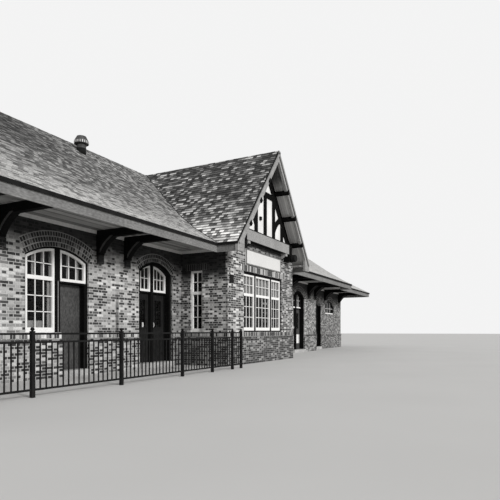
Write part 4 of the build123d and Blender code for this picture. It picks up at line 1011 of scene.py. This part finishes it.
sash_bars(LEFT_WIDE, FRONT, (LEFT_WIDE[0], MULLION[0]), 3, CROSS_Z, 3)
sash_bars(LEFT_WIDE, FRONT, (MULLION[1], LEFT_WIDE[1]), 3, CROSS_Z, sill=BAR_TOP, bottom=SLIM_RAIL)
for pair, shift in ((LEFT_PAIR, 0.0), (RIGHT_PAIR, PAIR_SHIFT)):
    for part in ((pair[0], PAIR_POST[0] + shift), (PAIR_POST[1] + shift, pair[1])):
        sash_bars(
            pair, FRONT, part, 3, PAIR_CROSS_Z,
            sill=BAR_TOP, bottom=SLIM_RAIL, frame=PAIR_FRAME, setback=PAIR_SETBACK,
        )
sash_bars(RIGHT_TALL, FRONT, RIGHT_TALL[:2], 4, CROSS_Z, 3)
for opening in BACK_OPENINGS:
    sash_bars(opening, BACK, opening[:2], 5, CROSS_Z, 3)
for opening in END_WINDOWS:
    for wall in (END_FRONT, END_BACK):
        sash_bars(opening, wall, opening[:2], 3, END_CROSS_Z, sill=END_SILL_Z, bottom=SLIM_RAIL)

BAY_BAR_Y = (BAY_FRONT + 0.084, BAY_FRONT + 0.104)
for (low, high), columns in zip(BAY_LIGHTS, (3, 4, 3)):
    x = (low + STILE, high - STILE)
    light_bars(x, (SILL_Z + 0.15, RAIL_Z), BAY_BAR_Y, columns, 3)
    light_bars(x, (RAIL_Z + 0.09, 2.95), BAY_BAR_Y, columns, 2)

# The windows in the sides of the bay have their bars along y
SIDE_WINDOW_Y = -4.204
SIDE_BAR_HALF = 0.17
for side in (-1, 1):
    depth = mirrored(side, BAY_X - 0.11, BAY_X - 0.078)
    for z, rows in (((SILL_Z + 0.11, RAIL_Z), 3), ((RAIL_Z + 0.09, 2.98), 2)):
        bars.box(depth, (SIDE_WINDOW_Y - BAR / 2, SIDE_WINDOW_Y + BAR / 2), z)
        for k in range(1, rows):
            at = z[0] + (z[1] - z[0]) * k / rows
            across = (SIDE_WINDOW_Y - SIDE_BAR_HALF, SIDE_WINDOW_Y + SIDE_BAR_HALF)
            bars.box(depth, across, (at - BAR / 2, at + BAR / 2))
bars.make("glazing_bars", WHITE_WOOD)

# Name board frame, small plate on the bay pier and the fitting on the stucco
SIGN_X = (-1.45, 1.35)
SIGN_Y = (BAY_FRONT - 0.052, BAY_FRONT - 0.034)
SIGN_Z = (3.33, 3.835)
SIGN_BAR = 0.03
SMALL_PLATE = ((-2.50, -2.26), (BAY_FRONT - 0.02, BAY_FRONT), (2.61, 2.88))
GABLE_FITTING = ((-0.44, -0.34), (BAY_FRONT - 0.08, BAY_FRONT - 0.01), (4.99, 5.11))
sign = Pile()
sign.ring(SIGN_X, SIGN_Y, SIGN_Z, SIGN_BAR)
sign.make("name_board_frame", TRIM_WOOD)
small = Pile()
small.box(*SMALL_PLATE)
small.box(*GABLE_FITTING)
small.make("small_fittings", IRON)

# Blinds behind the upper sashes of the bay, curtains and a low screen behind the left opening
CLOTH_T = 0.005
BLIND_Z = (2.30, 3.01)
CURTAIN_Z = (2.30, 3.02)
CURTAINS = ((-8.21, -8.09), (-7.95, -7.85), (-7.73, -7.65), (-7.21, -7.11), (-6.91, -6.83), (-6.69, -6.63))
BLIND_Y = (BAY_FRONT + 0.16, BAY_FRONT + 0.16 + CLOTH_T)
CURTAIN_Y = (-MAIN_Y + 0.15, -MAIN_Y + 0.15 + CLOTH_T)
SCREEN = ((-8.42, -7.90), CURTAIN_Y, (1.10, 1.34))
LONG_CURTAIN = ((-7.78, -7.70), CURTAIN_Y, (1.15, 2.26))
blinds = Pile()
for low, high in BAY_LIGHTS:
    blinds.box((low + 0.005, high - 0.005), BLIND_Y, BLIND_Z)
blinds.box(*SCREEN)
blinds.make("window_blinds", BLIND)
curtains = Pile()
for span in CURTAINS:
    curtains.box(span, CURTAIN_Y, CURTAIN_Z)
curtains.box(*LONG_CURTAIN)
curtains.make("window_curtains", BLIND)

# Dark sheets in the back windows and behind the upper lights of the right doorway, painted shade for the dark
# rooms behind them
BACK_SHADE_Y = (MAIN_Y - 0.39, MAIN_Y - 0.38)
BACK_SHADE_Z = (0.95, 3.30)
FAR_SHADE_Y = (-MAIN_Y + 0.40, -MAIN_Y + 0.41)
FAR_SHADE_Z = (2.30, 3.25)
shade_sheets = Pile()
for opening in BACK_OPENINGS:
    shade_sheets.box((opening[0] - 0.1, opening[1] + 0.1), BACK_SHADE_Y, BACK_SHADE_Z)
shade_sheets.box(RIGHT_PAIR[:2], FAR_SHADE_Y, FAR_SHADE_Z)
shade_sheets.make("dark_room_shade", SHADE_CLOTH)

# Brackets as (x, y, degrees about z), mirrored about x = 0
MAIN_BRACKET_X = (5.26, 6.29, 9.12, 10.15)
BACK_BRACKET_X = (1.40, 2.43)
END_BRACKET_X = (13.78, 16.74)
END_WALL_BRACKET_Y = (-1.5, 1.5)
BRACKETS = []
for x in MAIN_BRACKET_X:
    BRACKETS += [(x, -MAIN_Y, 0), (-x, -MAIN_Y, 0), (x, MAIN_Y, 180), (-x, MAIN_Y, 180)]
for x in BACK_BRACKET_X:
    BRACKETS += [(x, MAIN_Y, 180), (-x, MAIN_Y, 180)]
for x in END_BRACKET_X:
    for side in (-1, 1):
        BRACKETS += [(side * x, -END_Y, 0), (side * x, END_Y, 180)]
for side in (-1, 1):
    BRACKETS += [(side * END_X, y, side * 90) for y in END_WALL_BRACKET_Y]

# Raised bands on each bracket: post and arm, and a line along the curved brace painted lighter as a highlight
BRACKET_HALF = 0.075
BRACKET_POST = 0.14
ARM_Z = WALL_TOP - 0.19
BRACE_END = 0.58
BRACE_FOOT = 3.10
BRACE_SAG = 0.045
BRACE_STEPS = 6
BAND_LOOPS = (
    ((0.02, 3.07), (0.13, 3.07), (0.13, 3.50), (0.02, 3.50)),
    ((0.02, 3.53), (1.54, 3.53), (1.54, 3.68), (0.02, 3.68)),
)


def brace_loops():
    """Outlines (out from the wall, z) of the line along the brace, step by step."""
    run = BRACE_END - BRACKET_POST
    rise = ARM_Z - BRACE_FOOT
    span = math.hypot(run, rise)
    radius = (span ** 2 / 4 + BRACE_SAG ** 2) / (2 * BRACE_SAG)
    away = (radius - BRACE_SAG) / span
    centre = ((BRACE_END + BRACKET_POST) / 2 + away * rise, (ARM_Z + BRACE_FOOT) / 2 - away * run)
    first = math.atan2(ARM_Z - centre[1], BRACE_END - centre[0])
    sweep = 2 * math.asin(span / 2 / radius)
    inner = radius + 0.02
    outer = radius + 0.07
    loops = []
    for k in range(BRACE_STEPS):
        a = first + sweep * k / BRACE_STEPS
        b = first + sweep * (k + 1) / BRACE_STEPS
        corners = ((a, inner), (b, inner), (b, outer), (a, outer))
        loops.append([(centre[0] + r * math.cos(t), centre[1] + r * math.sin(t)) for t, r in corners])
    return loops


def bracket_bands(name, loops, material):
    """Bands 10 mm proud of both faces of every bracket."""
    pile = Pile()
    for x, y, turn in BRACKETS:
        angle = math.radians(turn)
        out = (math.sin(angle), -math.cos(angle))
        across = (math.cos(angle), math.sin(angle))
        for loop in loops:
            for side in (-1, 1):
                sheets = []
                for offset in (side * (BRACKET_HALF - 0.005), side * (BRACKET_HALF + 0.01)):
                    at = (x + across[0] * offset, y + across[1] * offset)
                    sheets.append([(at[0] + out[0] * d, at[1] + out[1] * d, z) for d, z in loop])
                pile.prism(*sheets)
    pile.make(name, material)


bracket_bands("bracket_bands", BAND_LOOPS, DARK_WOOD)
bracket_bands("bracket_brace_highlights", brace_loops(), BRACE_HIGHLIGHT)

# Door furniture, and the poster on the right leaf
LEAF_Y = -3.36
BEAD = 0.03
PANE_IN = 0.15
PANE_Z = (1.19, 2.07)
PANEL_IN = 0.11
PANEL_Z = (0.42, 1.05)
KICK_Z = (0.18, 0.36)
PULL_PLATE_Z = (1.22, 1.36)
PULL_Z = (1.25, 1.33)
PAIR_LEAVES = ((-4.588, -3.978), (-3.832, -3.222))


def door_piece(leaf, x, pull_x, y=LEAF_Y, paint=DOOR_PAINT, pane=True, body=None):
    """Beads round the pane and the panel below it, kick plate and pull of a leaf."""
    trim = Pile()
    if pane:
        trim.ring((x[0] + PANE_IN - BEAD, x[1] - PANE_IN + BEAD), (y - 0.008, y), PANE_Z, BEAD)
        trim.ring((x[0] + PANEL_IN, x[1] - PANEL_IN), (y - 0.008, y), PANEL_Z, BEAD)
    trim.box((x[0] + 0.02, x[1] - 0.02), (y - 0.003, y), KICK_Z)
    trim.make(f"{leaf}_trim", paint, body or leaf)
    pull = Pile()
    pull.box((pull_x - 0.03, pull_x + 0.03), (y - 0.006, y), PULL_PLATE_Z)
    pull.box((pull_x - 0.01, pull_x + 0.01), (y - 0.03, y - 0.006), PULL_Z)
    pull.make(f"{leaf}_trim_pull", BRIGHT_METAL, body or leaf)


LEFT_LEAF = (-7.477, -6.742)
LEFT_LEAF_Y = -3.41
POSTER = ((7.88, 8.43), (LEAF_Y - 0.008, LEAF_Y), (0.46, 0.92))
FAR_LEAVES = [(low + PAIR_SHIFT, high + PAIR_SHIFT) for low, high in PAIR_LEAVES]
door_piece("left_door", LEFT_LEAF, -7.41, y=LEFT_LEAF_Y, pane=False)
door_piece("pair_door_left", PAIR_LEAVES[0], -4.24, paint=PAIR_PAINT)
door_piece("pair_door_right", PAIR_LEAVES[1], -3.73, paint=PAIR_PAINT)
door_piece("right_door", FAR_LEAVES[1], 7.93)
door_piece("right_fixed_leaf", FAR_LEAVES[0], 7.66, body="building")
poster = Pile()
poster.box(*POSTER)
poster.make("right_door_poster", WHITE_WOOD, "right_door")

# Dark linings on the sides of the end doorways, which also paint the deep shade in the reveals
LINING_Y = (-END_Y - 0.004, -END_Y + 0.19)
LINING_Z = (0.16, END_DOORS[0][2])
linings = Pile()
for side in (-1, 1):
    for at, inward in ((DOOR_LOW, 1), (DOOR_HIGH, -1)):
        across = mirrored(side, at, at + inward * 0.02)
        linings.box(across, LINING_Y, LINING_Z)
linings.make("end_door_shade_linings", DARK_WOOD)

# Bead down the post of the wide opening
POST_BEAD = ((-7.585, -7.560), (-3.598, -3.590), (0.60, 2.29))
bead = Pile()
bead.box(*POST_BEAD)
bead.make("post_bead", TRIM_WOOD)

# Round base, collar and ribs of the roof vent
VENT = (-4.0, -0.59)
VENT_TOP = max(vertex.co.z for vertex in NODES["roof_vent"].data.vertices)
PIPE_R = 0.112
TURN_STEPS = 32
RIBS = 20
RIB_R = 0.226


def turned(name, profile, material):
    """A turned piece round the vent from (radius, depth below the vent's top) points."""
    pile = Pile()
    points = []
    faces = []
    for radius, depth in profile:
        for k in range(TURN_STEPS):
            angle = 2 * math.pi * k / TURN_STEPS
            x = VENT[0] + radius * math.cos(angle)
            y = VENT[1] + radius * math.sin(angle)
            points.append((x, y, VENT_TOP - depth))
    for ring in range(len(profile) - 1):
        for k in range(TURN_STEPS):
            a = ring * TURN_STEPS + k
            b = ring * TURN_STEPS + (k + 1) % TURN_STEPS
            faces.append((a, b, b + TURN_STEPS, a + TURN_STEPS))
    pile.add(points, faces)
    for face in pile.make(name, material).data.polygons:
        face.use_smooth = True


turned("vent_collar", ((0.150, 0.40), (0.150, 0.25), (PIPE_R, 0.25)), SHEET_METAL)
turned("vent_base", ((PIPE_R, 0.62), (0.146, 0.62), (0.146, 0.39), (PIPE_R, 0.39)), DRIP_METAL)
ribs = Pile()
for k in range(RIBS):
    angle = 2 * math.pi * k / RIBS
    out = Vector((math.cos(angle), math.sin(angle), 0))
    across = Vector((-out.y, out.x, 0)) * 0.014
    foot = Vector((*VENT, VENT_TOP - 0.24)) + out * RIB_R
    head = Vector((*VENT, VENT_TOP - 0.16)) + out * RIB_R
    low = [foot - across, foot + across, head + across, head - across]
    ribs.prism(low, [p + out * 0.012 for p in low])
ribs.make("vent_ribs", BRIGHT_METAL)


# Floor, backdrop and light
FLOOR_TONE = 0.62
BACKDROP_TONE = 0.9
SOFT_LIGHT = 0.5
SUN_ENERGY = 2.7
SUN_WIDTH = 12
SUN_TURN = (66, 0, -20)


def stage():
    bpy.ops.mesh.primitive_plane_add(size=400, location=(0, 0, -0.002))
    floor = bpy.context.object
    floor.name = "studio_floor"
    floor.data.materials.append(plain("studio_floor", FLOOR_TONE))
    world = bpy.data.worlds.new("studio")
    bpy.context.scene.world = world
    world.use_nodes = True
    tree = world.node_tree
    light = tree.nodes["Background"]
    light.inputs["Color"].default_value = (1, 1, 1, 1)
    light.inputs["Strength"].default_value = SOFT_LIGHT
    seen = tree.nodes.new("ShaderNodeBackground")
    seen.inputs["Color"].default_value = (BACKDROP_TONE, BACKDROP_TONE, BACKDROP_TONE, 1)
    seen.inputs["Strength"].default_value = 1.0
    path = tree.nodes.new("ShaderNodeLightPath")
    shown = tree.nodes.new("ShaderNodeMath")
    shown.operation = "MAXIMUM"
    tree.links.new(path.outputs["Is Camera Ray"], shown.inputs[0])
    tree.links.new(path.outputs["Is Transmission Ray"], shown.inputs[1])
    mix = tree.nodes.new("ShaderNodeMixShader")
    tree.links.new(shown.outputs[0], mix.inputs[0])
    tree.links.new(light.outputs[0], mix.inputs[1])
    tree.links.new(seen.outputs[0], mix.inputs[2])
    tree.links.new(mix.outputs[0], tree.nodes["World Output"].inputs[0])
    sun = bpy.data.lights.new("soft_sun", "SUN")
    sun.energy = SUN_ENERGY
    sun.angle = math.radians(SUN_WIDTH)
    lamp = bpy.data.objects.new("soft_sun", sun)
    lamp.rotation_euler = [math.radians(turn) for turn in SUN_TURN]
    bpy.context.scene.collection.objects.link(lamp)


# The photograph's camera: place in metres, turn to the right of +y, and its picture in pixels
CAMERA_PLACE = (-15.72, -12.94, 1.10)
CAMERA_TURN = 62.61
PICTURE = 500
FOCAL = 486.4
HORIZON_ROW = 331
SENSOR = 36


def camera():
    data = bpy.data.cameras.new("view")
    data.sensor_width = SENSOR
    data.lens = SENSOR * FOCAL / PICTURE
    data.shift_y = (HORIZON_ROW - PICTURE / 2) / PICTURE
    data.clip_end = 500
    view = bpy.data.objects.new("view", data)
    view.location = CAMERA_PLACE
    view.rotation_euler = (math.radians(90), 0, math.radians(-CAMERA_TURN))
    bpy.context.scene.collection.objects.link(view)
    bpy.context.scene.camera = view


stage()
camera()
bpy.context.scene.view_settings.view_transform = "Standard"
